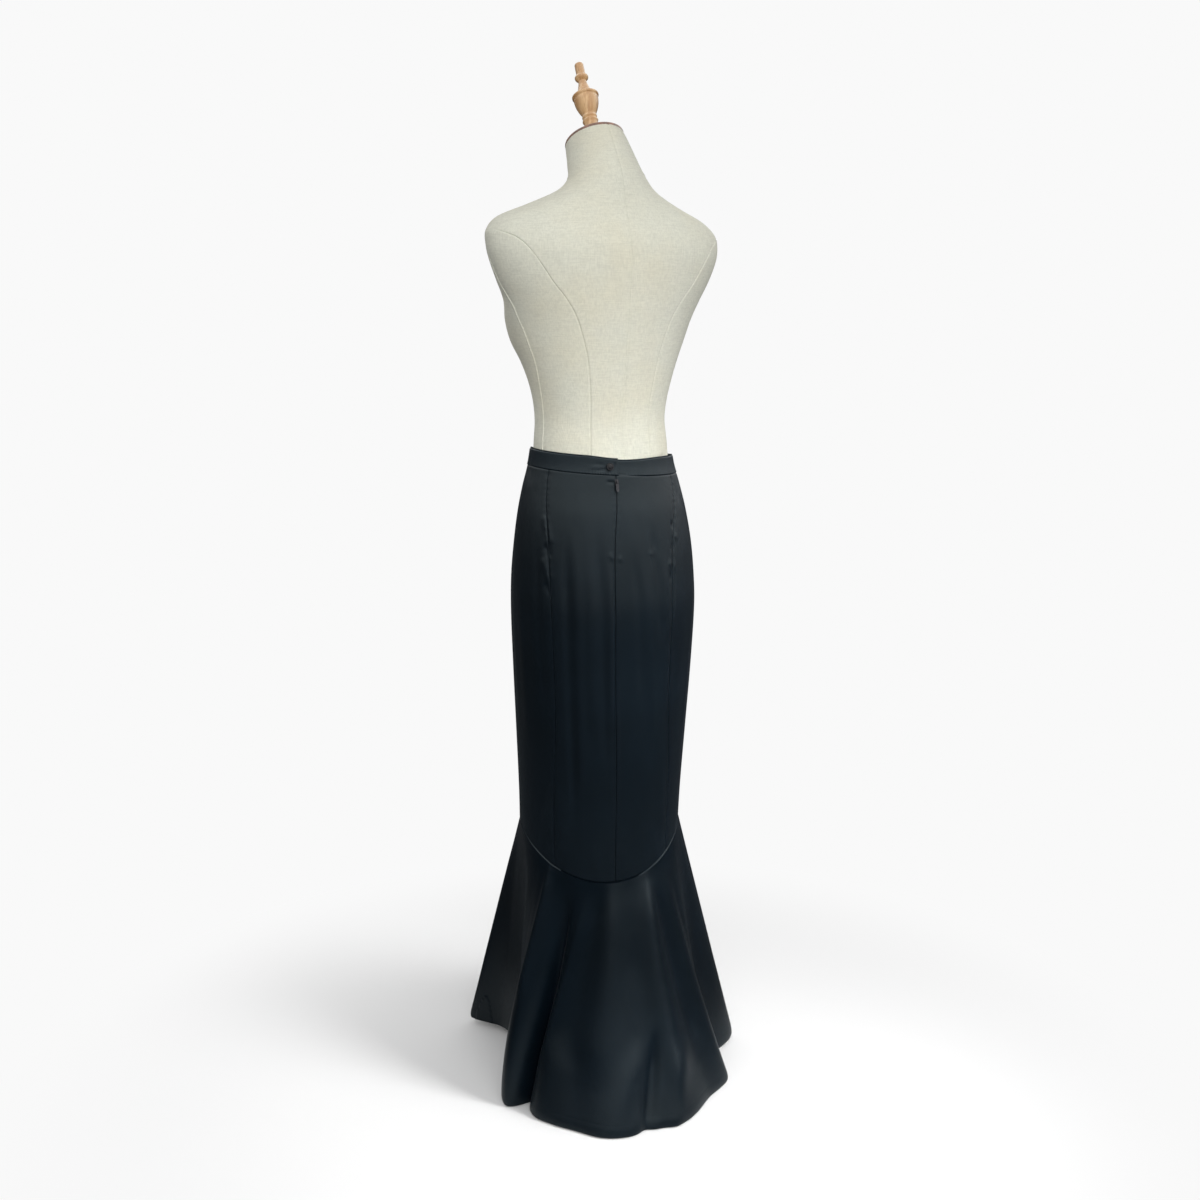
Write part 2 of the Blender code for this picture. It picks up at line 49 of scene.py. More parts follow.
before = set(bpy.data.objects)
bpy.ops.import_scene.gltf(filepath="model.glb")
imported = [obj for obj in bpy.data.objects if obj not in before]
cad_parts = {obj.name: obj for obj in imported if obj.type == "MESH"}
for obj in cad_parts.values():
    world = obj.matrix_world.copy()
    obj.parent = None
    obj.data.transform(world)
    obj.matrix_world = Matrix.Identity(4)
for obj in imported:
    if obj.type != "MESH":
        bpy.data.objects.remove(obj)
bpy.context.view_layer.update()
ROOT = "root"

# --------------------------------------------------------------------------------------
# Cut and hang of the cloth, the same as the frame's
# --------------------------------------------------------------------------------------

GAP = 0.0003                # between neighbouring pieces
FLOUNCE_GAP = 0.0011        # below the curved flounce seam
FLOUNCE_SWELL = 0.10        # strength of the outward swell above the left ridge of the hem
FLOUNCE_SWELL_ANGLE = 80.0
FLOUNCE_SWELL_WIDTH = 16.0
BAND_PROUD = 0.0006         # the band lies this much outside the panels
BAND_SIDE_TOP = 1.0410      # top edge of the band at the side seams
BAND_SIDE_BOTTOM = 1.0150
BAND_TOP_TILT = 0.0060      # the band sits askew, higher at the wearer's left
BAND_BOTTOM_TILT = 0.0070
BAND_BACK_DIP = 0.0062      # and lower at the centre back
BAND_END_DIP = 0.0040       # the under end slips below the over end
BAND_END_DROOP = 0.0024     # and the over end hangs a little from its button
BAND_FRONT_DIP = 0.0100     # the band sinks towards the front
BAND_FRONT_ANGLE = 207.0
BAND_OVER_END = 7.0         # angle of the end that lies on top
BAND_UNDERLAP = 15.0        # degrees that the under end reaches beneath it
BAND_INSET = 0.0025         # how deep the under end lies
SEAM_SIDE_HEIGHT = 0.4460   # flounce seam at the sides and the front
SEAM_BACK_DROP = 0.0745     # and how far it dips at the back
SEAM_LOWEST_ANGLE = 16.0
SEAM_CURVE = 1.3            # power of the cosine that bends it
BUTTON_ANGLE = 13.7
BUTTON_RADIUS = 0.0058
BUTTON_SHANK = 0.0010       # the thread lifts it this much off the band
BUST_HEIGHT = 1.225
BUST_ASIDE = 0.078
BUST_SPREAD = 0.045
BUST_RISE = 0.016
NECK_BEND = (1.42, 1.50)    # heights between which the neck's rings start to tilt
NECK_TILT = 0.45
CAP_WALL = 0.0040

Section = namedtuple("Section", "height half_width middle back_depth front_depth")

SKIRT = (
    Section(1.050, 0.1155, -0.006, 0.0770, 0.0875),
    Section(1.020, 0.1210, -0.006, 0.0810, 0.0905),
    Section(0.990, 0.1295, -0.005, 0.0890, 0.0950),
    Section(0.950, 0.1390, -0.003, 0.1010, 0.0980),
    Section(0.900, 0.1470, -0.001, 0.1110, 0.1005),
    Section(0.850, 0.1515, -0.001, 0.1180, 0.1050),
    Section(0.800, 0.1525, 0.000, 0.1220, 0.1080),
    Section(0.720, 0.1490, -0.001, 0.1190, 0.1130),
    Section(0.600, 0.1410, -0.006, 0.1145, 0.1215),
    Section(0.500, 0.1350, -0.011, 0.1085, 0.1260),
    Section(0.430, 0.1325, -0.014, 0.1050, 0.1290),
    Section(0.360, 0.1295, -0.016, 0.1035, 0.1295),
)

FORM = (
    Section(0.740, 0.1425, 0.000, 0.1120, 0.1020),
    Section(0.800, 0.1450, 0.000, 0.1140, 0.0980),
    Section(0.850, 0.1440, -0.001, 0.1090, 0.0960),
    Section(0.900, 0.1390, -0.001, 0.1010, 0.0920),
    Section(0.950, 0.1300, -0.003, 0.0910, 0.0890),
    Section(0.990, 0.1205, -0.004, 0.0805, 0.0865),
    Section(1.020, 0.1130, -0.006, 0.0735, 0.0830),
    Section(1.060, 0.1095, -0.008, 0.0685, 0.0835),
    Section(1.090, 0.1070, -0.010, 0.0660, 0.0835),
    Section(1.120, 0.1100, -0.009, 0.0690, 0.0860),
    Section(1.150, 0.1172, -0.008, 0.0735, 0.0950),
    Section(1.180, 0.1270, -0.010, 0.0780, 0.1080),
    Section(1.210, 0.1400, -0.015, 0.0825, 0.1220),
    Section(1.240, 0.1505, -0.011, 0.0870, 0.1240),
    Section(1.270, 0.1600, 0.003, 0.0912, 0.1090),
    Section(1.300, 0.1750, 0.008, 0.0948, 0.1000),
    Section(1.330, 0.1875, 0.009, 0.0968, 0.0940),
    Section(1.350, 0.1918, 0.007, 0.0955, 0.0890),
    Section(1.370, 0.1900, 0.002, 0.0900, 0.0820),
    Section(1.390, 0.1700, -0.003, 0.0815, 0.0760),
    Section(1.410, 0.1215, 0.003, 0.0755, 0.0600),
    Section(1.430, 0.0785, 0.012, 0.0710, 0.0440),
    Section(1.450, 0.0600, 0.010, 0.0620, 0.0420),
    Section(1.475, 0.0525, -0.006, 0.0410, 0.0520),
    Section(1.507, 0.0445, -0.028, 0.0165, 0.0725),
)

SeamLine = namedtuple("SeamLine", "height centre_back princess")

SEAM_LINES = (
    SeamLine(1.050, 9.5, 54.0),
    SeamLine(0.990, 9.5, 53.0),
    SeamLine(0.900, 13.5, 43.0),
    SeamLine(0.800, 14.5, 39.5),
    SeamLine(0.650, 14.0, 39.5),
    SeamLine(0.500, 13.0, 44.0),
    SeamLine(0.360, 13.0, 44.0),
)

Fold = namedtuple("Fold", "seam_angle hem_angle hem_reach hem_height")

FOLDS = (
    Fold(-27.0, -52.0, 0.215, 0.002),
    Fold(-17.0, -33.0, 0.203, 0.002),
    Fold(-8.0, -11.0, 0.219, 0.002),
    Fold(4.0, 3.0, 0.216, 0.002),
    Fold(14.0, 20.0, 0.223, 0.002),
    Fold(23.0, 44.0, 0.205, 0.002),
    Fold(33.0, 66.0, 0.186, 0.002),
    Fold(46.0, 71.0, 0.150, 0.002),
    Fold(60.0, 78.0, 0.203, 0.002),
    Fold(72.0, 97.0, 0.168, 0.003),
    Fold(84.0, 118.0, 0.150, 0.008),
    Fold(95.0, 138.0, 0.152, 0.012),
    Fold(106.0, 150.0, 0.212, 0.014),
    Fold(117.0, 151.0, 0.290, 0.012),
    Fold(130.0, 161.0, 0.270, 0.013),
    Fold(152.0, 178.0, 0.192, 0.014),
    Fold(180.0, 197.0, 0.258, 0.014),
    Fold(207.0, 214.0, 0.205, 0.014),
    Fold(232.0, 233.0, 0.256, 0.012),
    Fold(258.0, 252.0, 0.205, 0.010),
    Fold(282.0, 270.0, 0.257, 0.008),
    Fold(308.0, 290.0, 0.178, 0.003),
)

# The same folds once more on either side, so that the curve through them closes round the hem.
WRAPPED_FOLDS = tuple(
    Fold(row.seam_angle + turn, row.hem_angle + turn, row.hem_reach, row.hem_height)
    for turn in (-360.0, 0.0, 360.0) for row in FOLDS
)

Turned = namedtuple("Turned", "along radius")

FINIAL = (
    Turned(0.0000, 0.0170), Turned(0.0030, 0.0176), Turned(0.0060, 0.0160), Turned(0.0100, 0.0118),
    Turned(0.0180, 0.0104), Turned(0.0255, 0.0104), Turned(0.0280, 0.0111), Turned(0.0305, 0.0121),
    Turned(0.0328, 0.0112), Turned(0.0340, 0.0101), Turned(0.0355, 0.0107), Turned(0.0370, 0.0115),
    Turned(0.0388, 0.0110), Turned(0.0405, 0.0107), Turned(0.0435, 0.0120), Turned(0.0480, 0.0143),
    Turned(0.0560, 0.0173), Turned(0.0640, 0.0188), Turned(0.0695, 0.0189), Turned(0.0706, 0.0200),
    Turned(0.0725, 0.0206), Turned(0.0745, 0.0197), Turned(0.0760, 0.0150), Turned(0.0790, 0.0115),
    Turned(0.0850, 0.0094), Turned(0.0930, 0.0072), Turned(0.0985, 0.0063), Turned(0.1002, 0.0080),
    Turned(0.1028, 0.0100), Turned(0.1056, 0.0105), Turned(0.1078, 0.0094), Turned(0.1092, 0.0074),
    Turned(0.1180, 0.0070), Turned(0.1270, 0.0068), Turned(0.1290, 0.0058),
)

# --------------------------------------------------------------------------------------
# Finer shape, which the frame's solids don't have
# --------------------------------------------------------------------------------------

PANEL_UNDER_BAND = 0.0040   # a panel's top edge reaches up this much behind the band
PANEL_STEP_BACK = 0.0016    # and lies back this much there
PANEL_STEP_AT = (0.0055, 0.0030)    # below the top edge
PANEL_END_HEIGHTS = (1.0, 0.4)      # where its seams' angles set its top and bottom edge
SEAM_DIP = 0.0004           # the cloth sinks a little at a panel's seam
SEAM_DIP_WIDTH = 0.0045
PUCKER = 0.00020            # and its stitches pucker it
PUCKER_WIDTH = 0.0065
SKIRT_RADIUS = 0.140        # mean, turns an angle into a way round
FLOUNCE_DROP = 0.38         # about the length of the flounce where it is shortest, seam to hem
FLOUNCE_RADII = (0.130, 0.210)    # mean, at its seam and at its hem
PLEAT_SHIFT_RADIUS = 0.170
FLOUNCE_SAG = 0.0120        # the back of the flounce hangs hollow
FLOUNCE_SAG_ANGLE = 8.0
FLOUNCE_SAG_WIDTH = 42.0
FLOUNCE_TUCK_RISE = 0.0010  # its allowance reaches up this much behind the panels
HEM_ROLL = 0.0050
HEM_ROLL_HEIGHT = 0.0150
HEM_ROUNDNESS = 0.97        # 1 would end the roll level
HEM_STITCHES = 0.361        # this far down the flounce
HEM_STITCH_DIP = 0.00012
HEM_STITCH_WIDTH = 0.0010
BAND_RADIUS = 0.120         # mean, like the skirt's
BAND_EDGE_RADIUS = 0.0009
BAND_WAVES = 0.00020
BAND_PUCKER = 0.00025       # along its lower edge
BAND_PUCKER_WIDTH = 0.0035
COIL_DEPTH = 0.00185        # the zip's teeth lie this deep below the skirt's surface
TOOTH_SIZE = (0.0020, 0.0006, 0.0007)
TOOTH_ASIDE = 0.0005
TOOTH_EDGE = 0.00015
DOME_RADIUS = 0.0044        # the button's raised middle
DOME_RISE = 0.0010
DOME_BASE = 0.0020
CAP_EDGE = 0.0012

# Columns and rows of the meshes, and how much they crowd towards the edges, from 0 to 1.
FLOUNCE_GRID = (260, 180)
BAND_GRID = (520, 16)
COVER_GRID = (320, 230)
PANEL_CROWDING = (0.80, 0.45)
FLOUNCE_CROWDING = (0.45, 0.80)
BAND_CROWDING = (0.85, 0.70)
COVER_CROWDING = 0.88

# --------------------------------------------------------------------------------------
# Creases, laid one by one on the skirt
# --------------------------------------------------------------------------------------

# Each runs from its upper to its lower end.  A lift above 0 is a ridge, below 0 a trough.
Crease = namedtuple("Crease", "top_angle top_height low_angle low_height width lift")

SKIRT_CREASES = (
    # drag folds below the hips at the back, left of the zip
    Crease(44.0, 0.945, 41.5, 0.440, 0.0070, -0.0021),
    Crease(37.0, 0.930, 36.0, 0.500, 0.0080, 0.0014),
    Crease(23.5, 0.940, 20.0, 0.540, 0.0070, -0.0020),
    Crease(29.5, 0.910, 28.0, 0.600, 0.0090, 0.0014),
    Crease(17.0, 0.900, 17.0, 0.620, 0.0050, 0.0010),
    # right of the zip, softer and more broken
    Crease(2.0, 0.910, -4.0, 0.650, 0.0075, -0.0015),
    Crease(-5.0, 0.880, -13.0, 0.580, 0.0085, 0.0012),
    Crease(-12.0, 0.945, -17.0, 0.740, 0.0070, -0.0016),
    Crease(-20.0, 0.900, -24.0, 0.630, 0.0080, 0.0012),
    Crease(-7.0, 0.893, -13.0, 0.890, 0.0022, 0.0007),
    Crease(-6.0, 0.711, -27.0, 0.703, 0.0011, -0.0005),
    # pulls on the left princess seam
    Crease(63.0, 0.955, 54.5, 0.905, 0.0070, 0.0012),
    Crease(60.0, 0.908, 54.5, 0.888, 0.0048, -0.0010),
    Crease(61.0, 0.890, 54.5, 0.850, 0.0060, 0.0013),
    Crease(59.0, 0.850, 54.0, 0.834, 0.0048, -0.0008),
    Crease(66.0, 0.930, 61.5, 0.640, 0.0070, -0.0014),
    # pulls on the right princess seam
    Crease(-33.0, 0.936, -30.0, 0.926, 0.0038, -0.0012),
    Crease(-31.0, 0.902, -27.0, 0.892, 0.0038, -0.0012),
    Crease(-29.0, 0.918, -36.0, 0.908, 0.0045, 0.0009),
    Crease(-26.0, 0.858, -23.0, 0.846, 0.0040, -0.0011),
    Crease(-22.0, 0.875, -31.0, 0.865, 0.0045, 0.0009),
    # at the zip
    Crease(16.5, 1.0005, 10.5, 0.9995, 0.0016, -0.0010),
    Crease(16.0, 1.0050, 11.0, 1.0045, 0.0018, 0.0005),
    Crease(18.0, 0.893, 13.5, 0.888, 0.0040, 0.0009),
    Crease(9.0, 0.888, 12.0, 0.885, 0.0035, 0.0008),
    # sides and front, like the ones at the back
    Crease(82.0, 0.880, 79.0, 0.560, 0.0100, 0.0009),
    Crease(98.0, 0.900, 99.0, 0.600, 0.0090, -0.0010),
    Crease(120.0, 0.900, 124.0, 0.560, 0.0100, -0.0010),
    Crease(136.0, 0.860, 133.0, 0.520, 0.0110, 0.0009),
    Crease(158.0, 0.880, 162.0, 0.620, 0.0100, -0.0009),
    Crease(172.0, 0.840, 171.0, 0.500, 0.0110, 0.0008),
    Crease(193.0, 0.890, 189.0, 0.560, 0.0100, -0.0010),
    Crease(210.0, 0.860, 214.0, 0.600, 0.0110, 0.0009),
    Crease(232.0, 0.900, 228.0, 0.540, 0.0100, -0.0010),
    Crease(255.0, 0.890, 257.0, 0.580, 0.0090, 0.0009),
    Crease(-70.0, 0.900, -68.0, 0.600, 0.0090, -0.0010),
    Crease(-52.0, 0.870, -49.0, 0.560, 0.0100, 0.0009),
    # above the flounce seam, where the weight pulls
    Crease(8.0, 0.430, 6.0, 0.385, 0.0080, 0.0008),
    Crease(27.0, 0.440, 29.0, 0.390, 0.0090, 0.0008),
    Crease(48.0, 0.470, 55.0, 0.425, 0.0090, 0.0008),
    Crease(-16.0, 0.450, -20.0, 0.400, 0.0090, 0.0008),
)

# On the flounce the two ends are given as an angle at the seam and the part of the way down.
Pleat = namedtuple("Pleat", "top_angle top_down low_angle low_down width lift")

FLOUNCE_CREASES = (
    Pleat(23.0, -0.04, 27.0, 0.80, 0.0140, -0.0046),    # soft inner valley
    Pleat(30.0, 0.05, 36.0, 0.90, 0.0080, 0.0034),
    Pleat(14.0, -0.02, 20.0, 0.85, 0.0110, 0.0030),
    Pleat(-9.0, -0.02, -9.0, 0.95, 0.0160, 0.0060),     # bright inner ridge
    Pleat(-17.0, 0.04, -18.0, 0.85, 0.0110, -0.0040),
    Pleat(4.0, 0.20, 8.0, 1.10, 0.0160, -0.0024),
    Pleat(-3.0, 0.60, 24.0, 1.42, 0.0075, -0.0075),     # fold that opens at the hem
    Pleat(-13.0, 0.66, 12.0, 1.40, 0.0110, 0.0035),
    Pleat(6.0, 0.62, 34.0, 1.40, 0.0110, 0.0034),
    Pleat(24.0, 0.62, 17.0, 1.25, 0.0110, -0.0030),
    Pleat(31.0, 0.60, 28.0, 1.30, 0.0090, 0.0030),
    Pleat(60.0, -0.03, 62.0, 0.60, 0.0070, 0.0046),     # pointed fold on the left panel
    Pleat(47.0, 0.02, 46.0, 1.20, 0.0160, -0.0100),
    Pleat(-33.0, 0.08, -36.0, 0.72, 0.0110, -0.0020),
    Pleat(-42.0, 0.20, -44.0, 0.85, 0.0110, 0.0018),
    Pleat(88.0, 0.05, 90.0, 0.75, 0.0110, -0.0020),
    Pleat(112.0, 0.08, 113.0, 0.80, 0.0120, 0.0018),
    Pleat(141.0, 0.06, 143.0, 0.75, 0.0110, -0.0020),
    Pleat(166.0, 0.10, 165.0, 0.85, 0.0120, 0.0020),
    Pleat(194.0, 0.06, 192.0, 0.80, 0.0110, -0.0020),
    Pleat(219.0, 0.08, 221.0, 0.85, 0.0120, 0.0018),
    Pleat(245.0, 0.06, 243.0, 0.75, 0.0110, -0.0020),
    Pleat(270.0, 0.10, 271.0, 0.80, 0.0120, 0.0018),
)

BAND_CREASES = (
    Crease(26.0, 1.0290, 16.5, 1.0250, 0.0013, -0.0005),
    Crease(29.0, 1.0225, 16.5, 1.0225, 0.0014, 0.0005),
    Crease(24.0, 1.0170, 16.5, 1.0195, 0.0013, -0.0005),
    Crease(10.5, 1.0290, 8.5, 1.0320, 0.0016, 0.0005),
)

# Seams of the linen cover: height and angle of points from the top to the bottom.
CoverSeam = namedtuple("CoverSeam", "height angle")

COVER_PRINCESS = (
    CoverSeam(1.370, 82.0), CoverSeam(1.362, 66.0), CoverSeam(1.353, 57.5), CoverSeam(1.336, 51.0),
    CoverSeam(1.314, 46.5), CoverSeam(1.291, 42.5), CoverSeam(1.270, 37.5), CoverSeam(1.246, 32.5),
    CoverSeam(1.218, 29.5), CoverSeam(1.185, 28.0), CoverSeam(1.070, 28.0), CoverSeam(0.750, 27.0),
)
COVER_SIDE = (
    CoverSeam(1.330, 95.0), CoverSeam(1.296, 93.0), CoverSeam(1.276, 88.5), CoverSeam(1.253, 79.5),
    CoverSeam(1.218, 73.0), CoverSeam(1.183, 74.0), CoverSeam(1.135, 77.5), CoverSeam(1.051, 78.0),
    CoverSeam(0.750, 79.0),
)
COVER_FRONT = (
    CoverSeam(1.352, 112.0), CoverSeam(1.320, 128.0), CoverSeam(1.280, 140.0), CoverSeam(1.225, 146.0),
    CoverSeam(1.160, 149.0), CoverSeam(1.090, 151.0), CoverSeam(0.750, 150.0),
)
COVER_NECK_HEIGHT = 1.446

CoverLine = namedtuple("CoverLine", "rows top raised")

# A seam that is raised above 0 stands out between soft dips, and below 0 it is a groove.
COVER_LINES = (
    CoverLine(COVER_PRINCESS, 1.369, -0.0011),
    CoverLine(COVER_SIDE, 1.335, 0.0013),
    CoverLine(COVER_FRONT, 1.355, -0.0011),
)


# --------------------------------------------------------------------------------------
# Arithmetic on whole arrays of points
# --------------------------------------------------------------------------------------

def through(rows, where):
    """Every column of a table at many places, on a smooth curve through its rows."""
    table = np.array(sorted(rows), float)
    keys, values = table[:, 0], table[:, 1:]
    slopes = np.empty_like(values)
    slopes[1:-1] = (values[2:] - values[:-2]) / (keys[2:] - keys[:-2])[:, None]
    slopes[0] = (values[1] - values[0]) / (keys[1] - keys[0])
    slopes[-1] = (values[-1] - values[-2]) / (keys[-1] - keys[-2])
    where = np.clip(np.asarray(where, float), keys[0], keys[-1])
    low = np.clip(np.searchsorted(keys, where, side="right") - 1, 0, len(keys) - 2)
    span = (keys[low + 1] - keys[low])[..., None]
    part = (where - keys[low])[..., None] / span
    rest = 1.0 - part
    near = values[low] * (1.0 + 2.0 * part) * rest ** 2 + slopes[low] * span * part * rest ** 2
    far = values[low + 1] * part ** 2 * (3.0 - 2.0 * part) - slopes[low + 1] * span * part ** 2 * rest
    return np.moveaxis(near + far, -1, 0)


def ramp(value, low, high):
    """0 at low and 1 at high, with a soft step between."""
    part = np.clip((value - low) / (high - low), 0.0, 1.0)
    return part * part * (3.0 - 2.0 * part)


def mix(first, second, part):
    return first + (second - first) * part


def bell(value):
    return np.exp(-value ** 2)


def unit(vectors):
    return vectors / np.maximum(np.linalg.norm(vectors, axis=-1, keepdims=True), 1e-12)


def ring(columns, angle, height, grow=0.0):
    half_width, middle, back_depth, front_depth = columns
    turn = np.radians(angle)
    cosine = np.cos(turn)
    depth = np.where(cosine > 0.0, back_depth + grow - middle, front_depth + grow + middle)
    across = (half_width + grow) * np.sin(turn)
    return np.stack([across, middle + depth * cosine, np.broadcast_to(height, across.shape)], axis=-1)


def skirt_surface(angle, height, grow=0.0):
    return ring(through(SKIRT, height), angle, height, grow)


def skirt_out(angle, height):
    """Which way faces out of the skirt."""
    around = skirt_surface(angle + 0.2, height) - skirt_surface(angle - 0.2, height)
    up = skirt_surface(angle, height + 0.002) - skirt_surface(angle, height - 0.002)
    return unit(np.cross(up, around))


def form_surface(angle, height):
    columns = through(FORM, height)
    points = ring(columns, angle, height)
    aside = (np.abs(points[..., 0]) - BUST_ASIDE) / BUST_SPREAD
    rise = BUST_RISE * bell((height - BUST_HEIGHT) / BUST_SPREAD) * bell(aside)
    points[..., 1] -= np.where(points[..., 1] < 0.0, rise, 0.0)
    points[..., 2] += NECK_TILT * ramp(height, *NECK_BEND) * (points[..., 1] - columns[1])
    return points


def form_out(angle, height):
    around = form_surface(angle + 0.3, height) - form_surface(angle - 0.3, height)
    up = form_surface(angle, height + 0.002) - form_surface(angle, height - 0.002)
    return unit(np.cross(up, around))


def band_dip(angle):
    back = BAND_BACK_DIP * np.maximum(np.cos(np.radians(angle)), 0.0)
    return back + BAND_FRONT_DIP * np.maximum(np.cos(np.radians(angle - BAND_FRONT_ANGLE)), 0.0)


def band_top(angle):
    end_dip = BAND_END_DIP * ramp(angle, 325.0, 360.0 + BAND_OVER_END - 4.0)
    end_dip += BAND_END_DROOP * ramp(angle, 32.0, 8.0)
    return BAND_SIDE_TOP + BAND_TOP_TILT * np.sin(np.radians(angle)) - band_dip(angle) - end_dip


def band_bottom(angle):
    return BAND_SIDE_BOTTOM + BAND_BOTTOM_TILT * np.sin(np.radians(angle)) - band_dip(angle)


def flounce_seam(angle):
    turn = np.radians(angle - SEAM_LOWEST_ANGLE)
    return SEAM_SIDE_HEIGHT - SEAM_BACK_DROP * np.maximum(np.cos(turn), 0.0) ** SEAM_CURVE


def seam_angle(side, height):
    """side counts the seams: 0 centre back, 1 and -1 princess, 2 and -2 side seams, 6 is -2 again."""
    centre_back, princess = through(SEAM_LINES, height)
    if side == 6:
        return centre_back + 270.0
    shift = {0: 0.0, 1: princess, 2: 90.0}[min(abs(side), 2)]
    return centre_back + np.sign(side) * shift


def line_lift(across, up, start, end, width, lift):
    """A ridge or trough along one line, soft on both sides and fading at both ends."""
    run = np.subtract(end, start)
    length = max(float(np.hypot(*run)), 1e-6)
    along = ((across - start[0]) * run[0] + (up - start[1]) * run[1]) / length ** 2
    beside = ((across - start[0]) * run[1] - (up - start[1]) * run[0]) / length
    fade = np.clip(along, 0.0, 1.0)
    past = (along - fade) * length
    ends = ramp(fade, 0.0, 0.22) * ramp(fade, 1.0, 0.78)
    return lift * bell(beside / width) * bell(past / width) * ends


def turned_from(angle, start):
    """How far an angle lies from another one, the short way round."""
    return (angle - start + 180.0) % 360.0 - 180.0


def crease_lift(creases, angle, height, radius=SKIRT_RADIUS):
    """How far all the creases move the cloth out, in a place given by angle and height."""
    total = np.zeros(np.broadcast(angle, height).shape)
    for crease in creases:
        across = np.radians(turned_from(angle, crease.top_angle)) * radius
        shift = math.radians(crease.low_angle - crease.top_angle) * radius
        total += line_lift(
            across, height, (0.0, crease.top_height), (shift, crease.low_height),
            crease.width, crease.lift,
        )
    return total


def pleat_lift(angle, fall):
    """How far the flounce's own creases move it out, fall of the way down from its seam."""
    total = np.zeros_like(fall)
    radius = mix(*FLOUNCE_RADII, fall)
    for pleat in FLOUNCE_CREASES:
        across = np.radians(turned_from(angle, pleat.top_angle)) * radius
        shift = math.radians(pleat.low_angle - pleat.top_angle) * PLEAT_SHIFT_RADIUS
        total += line_lift(
            across, -fall * FLOUNCE_DROP,
            (0.0, -pleat.top_down * FLOUNCE_DROP), (shift, -pleat.low_down * FLOUNCE_DROP),
            pleat.width, pleat.lift,
        )
    return total


def waves(angle, height, strength):
    """Faint unevenness of hanging satin, of three sizes laid over each other."""
    turn = np.radians(angle)
    slow = np.sin(3.0 * turn + 5.0 * height + 0.7) * np.sin(11.0 * height + 1.3 * np.sin(2.0 * turn))
    mid = np.sin(13.0 * turn + 6.0 * height + 1.9 * np.sin(9.0 * height))
    fine = np.sin(29.0 * turn - 14.0 * height + 2.3 * np.sin(17.0 * height + turn))
    return strength * (0.55 * slow + 0.30 * mid + 0.15 * fine)


# --------------------------------------------------------------------------------------
# Making cloth
# --------------------------------------------------------------------------------------

def crowded(part, pull):
    """Spread places evenly from 0 to 1, but crowd them towards both ends."""
    return part - pull * np.sin(2.0 * np.pi * part) / (2.0 * np.pi)


def finish_mesh(name, shape, finish, sharp=40.0):
    mesh = bpy.data.meshes.new(name)
    shape.to_mesh(mesh)
    shape.free()
    mesh.shade_smooth()
    mesh.set_sharp_from_angle(angle=math.radians(sharp))
    mesh.materials.append(finish)
    made = bpy.data.objects.new(name, mesh)
    bpy.context.scene.collection.objects.link(made)
    return made


def facing_out(shape):
    """Turn a closed shape's faces outwards."""
    bmesh.ops.recalc_face_normals(shape, faces=shape.faces)
    if shape.calc_volume(signed=True) < 0.0:
        bmesh.ops.reverse_faces(shape, faces=shape.faces)


def cloth_shell(name, surface, columns, rows, wall, finish, spread):
    """A closed thin shell: a flat slab whose outer layer is laid on the surface and inner a wall in.

    spread is the (width, length) in metres of the weave's own UV map.
    """
    shape = bmesh.new()
    bmesh.ops.create_grid(shape, x_segments=columns, y_segments=rows, size=0.5)
    bmesh.ops.solidify(shape, geom=shape.faces[:], thickness=1.0)
    flat = np.array([vertex.co[:] for vertex in shape.verts])
    across, down = flat[:, 0] + 0.5, 0.5 - flat[:, 1]
    step = 0.0008
    here = surface(across, down)
    left = surface(np.clip(across - step, 0.0, 1.0), down)
    right = surface(np.clip(across + step, 0.0, 1.0), down)
    above = surface(across, np.clip(down - step, 0.0, 1.0))
    below = surface(across, np.clip(down + step, 0.0, 1.0))
    normal = unit(np.cross(right - left, below - above))
    outward = here * (1.0, 1.0, 0.0)
    normal *= np.where((normal * outward).sum(axis=1, keepdims=True) < 0.0, -1.0, 1.0)
    inner = np.abs(flat[:, 2]) > 0.5
    placed = here - normal * np.where(inner, wall, 0.0)[:, None]
    layer = shape.loops.layers.uv.new("Weave")
    for vertex, point, u, v in zip(shape.verts, placed, across * spread[0], down * spread[1]):
        vertex.co = point
        for loop in vertex.link_loops:
            loop[layer].uv = (u, v)
    facing_out(shape)
    return finish_mesh(name, shape, finish, 60.0)


def turned_shape(profile, steps):
    """A closed shape turned on Z, its profile going from the bottom to the top."""
    shape = bmesh.new()
    rows = [(0.0, profile[0].along)] + [(row.radius, row.along) for row in profile]
    rows.append((0.0, profile[-1].along))
    verts = [shape.verts.new((radius, 0.0, along)) for radius, along in rows]
    edges = [shape.edges.new(pair) for pair in zip(verts, verts[1:])]
    bmesh.ops.spin(
        shape, geom=verts + edges, cent=(0, 0, 0), axis=(0, 0, 1),
        angle=math.tau, steps=steps, use_merge=True,
    )
    bmesh.ops.remove_doubles(shape, verts=shape.verts, dist=1e-6)
    facing_out(shape)
    return shape


def smooth_profile(profile, pieces):
    """More rows between those of a turned profile, on a smooth curve."""
    places = []
    for near, far in zip(profile, profile[1:]):
        places += [mix(near.along, far.along, step / pieces) for step in range(pieces)]
    places.append(profile[-1].along)
    radii = through(profile, np.array(places))[0]
    return [Turned(along, float(radius)) for along, radius in zip(places, radii)]


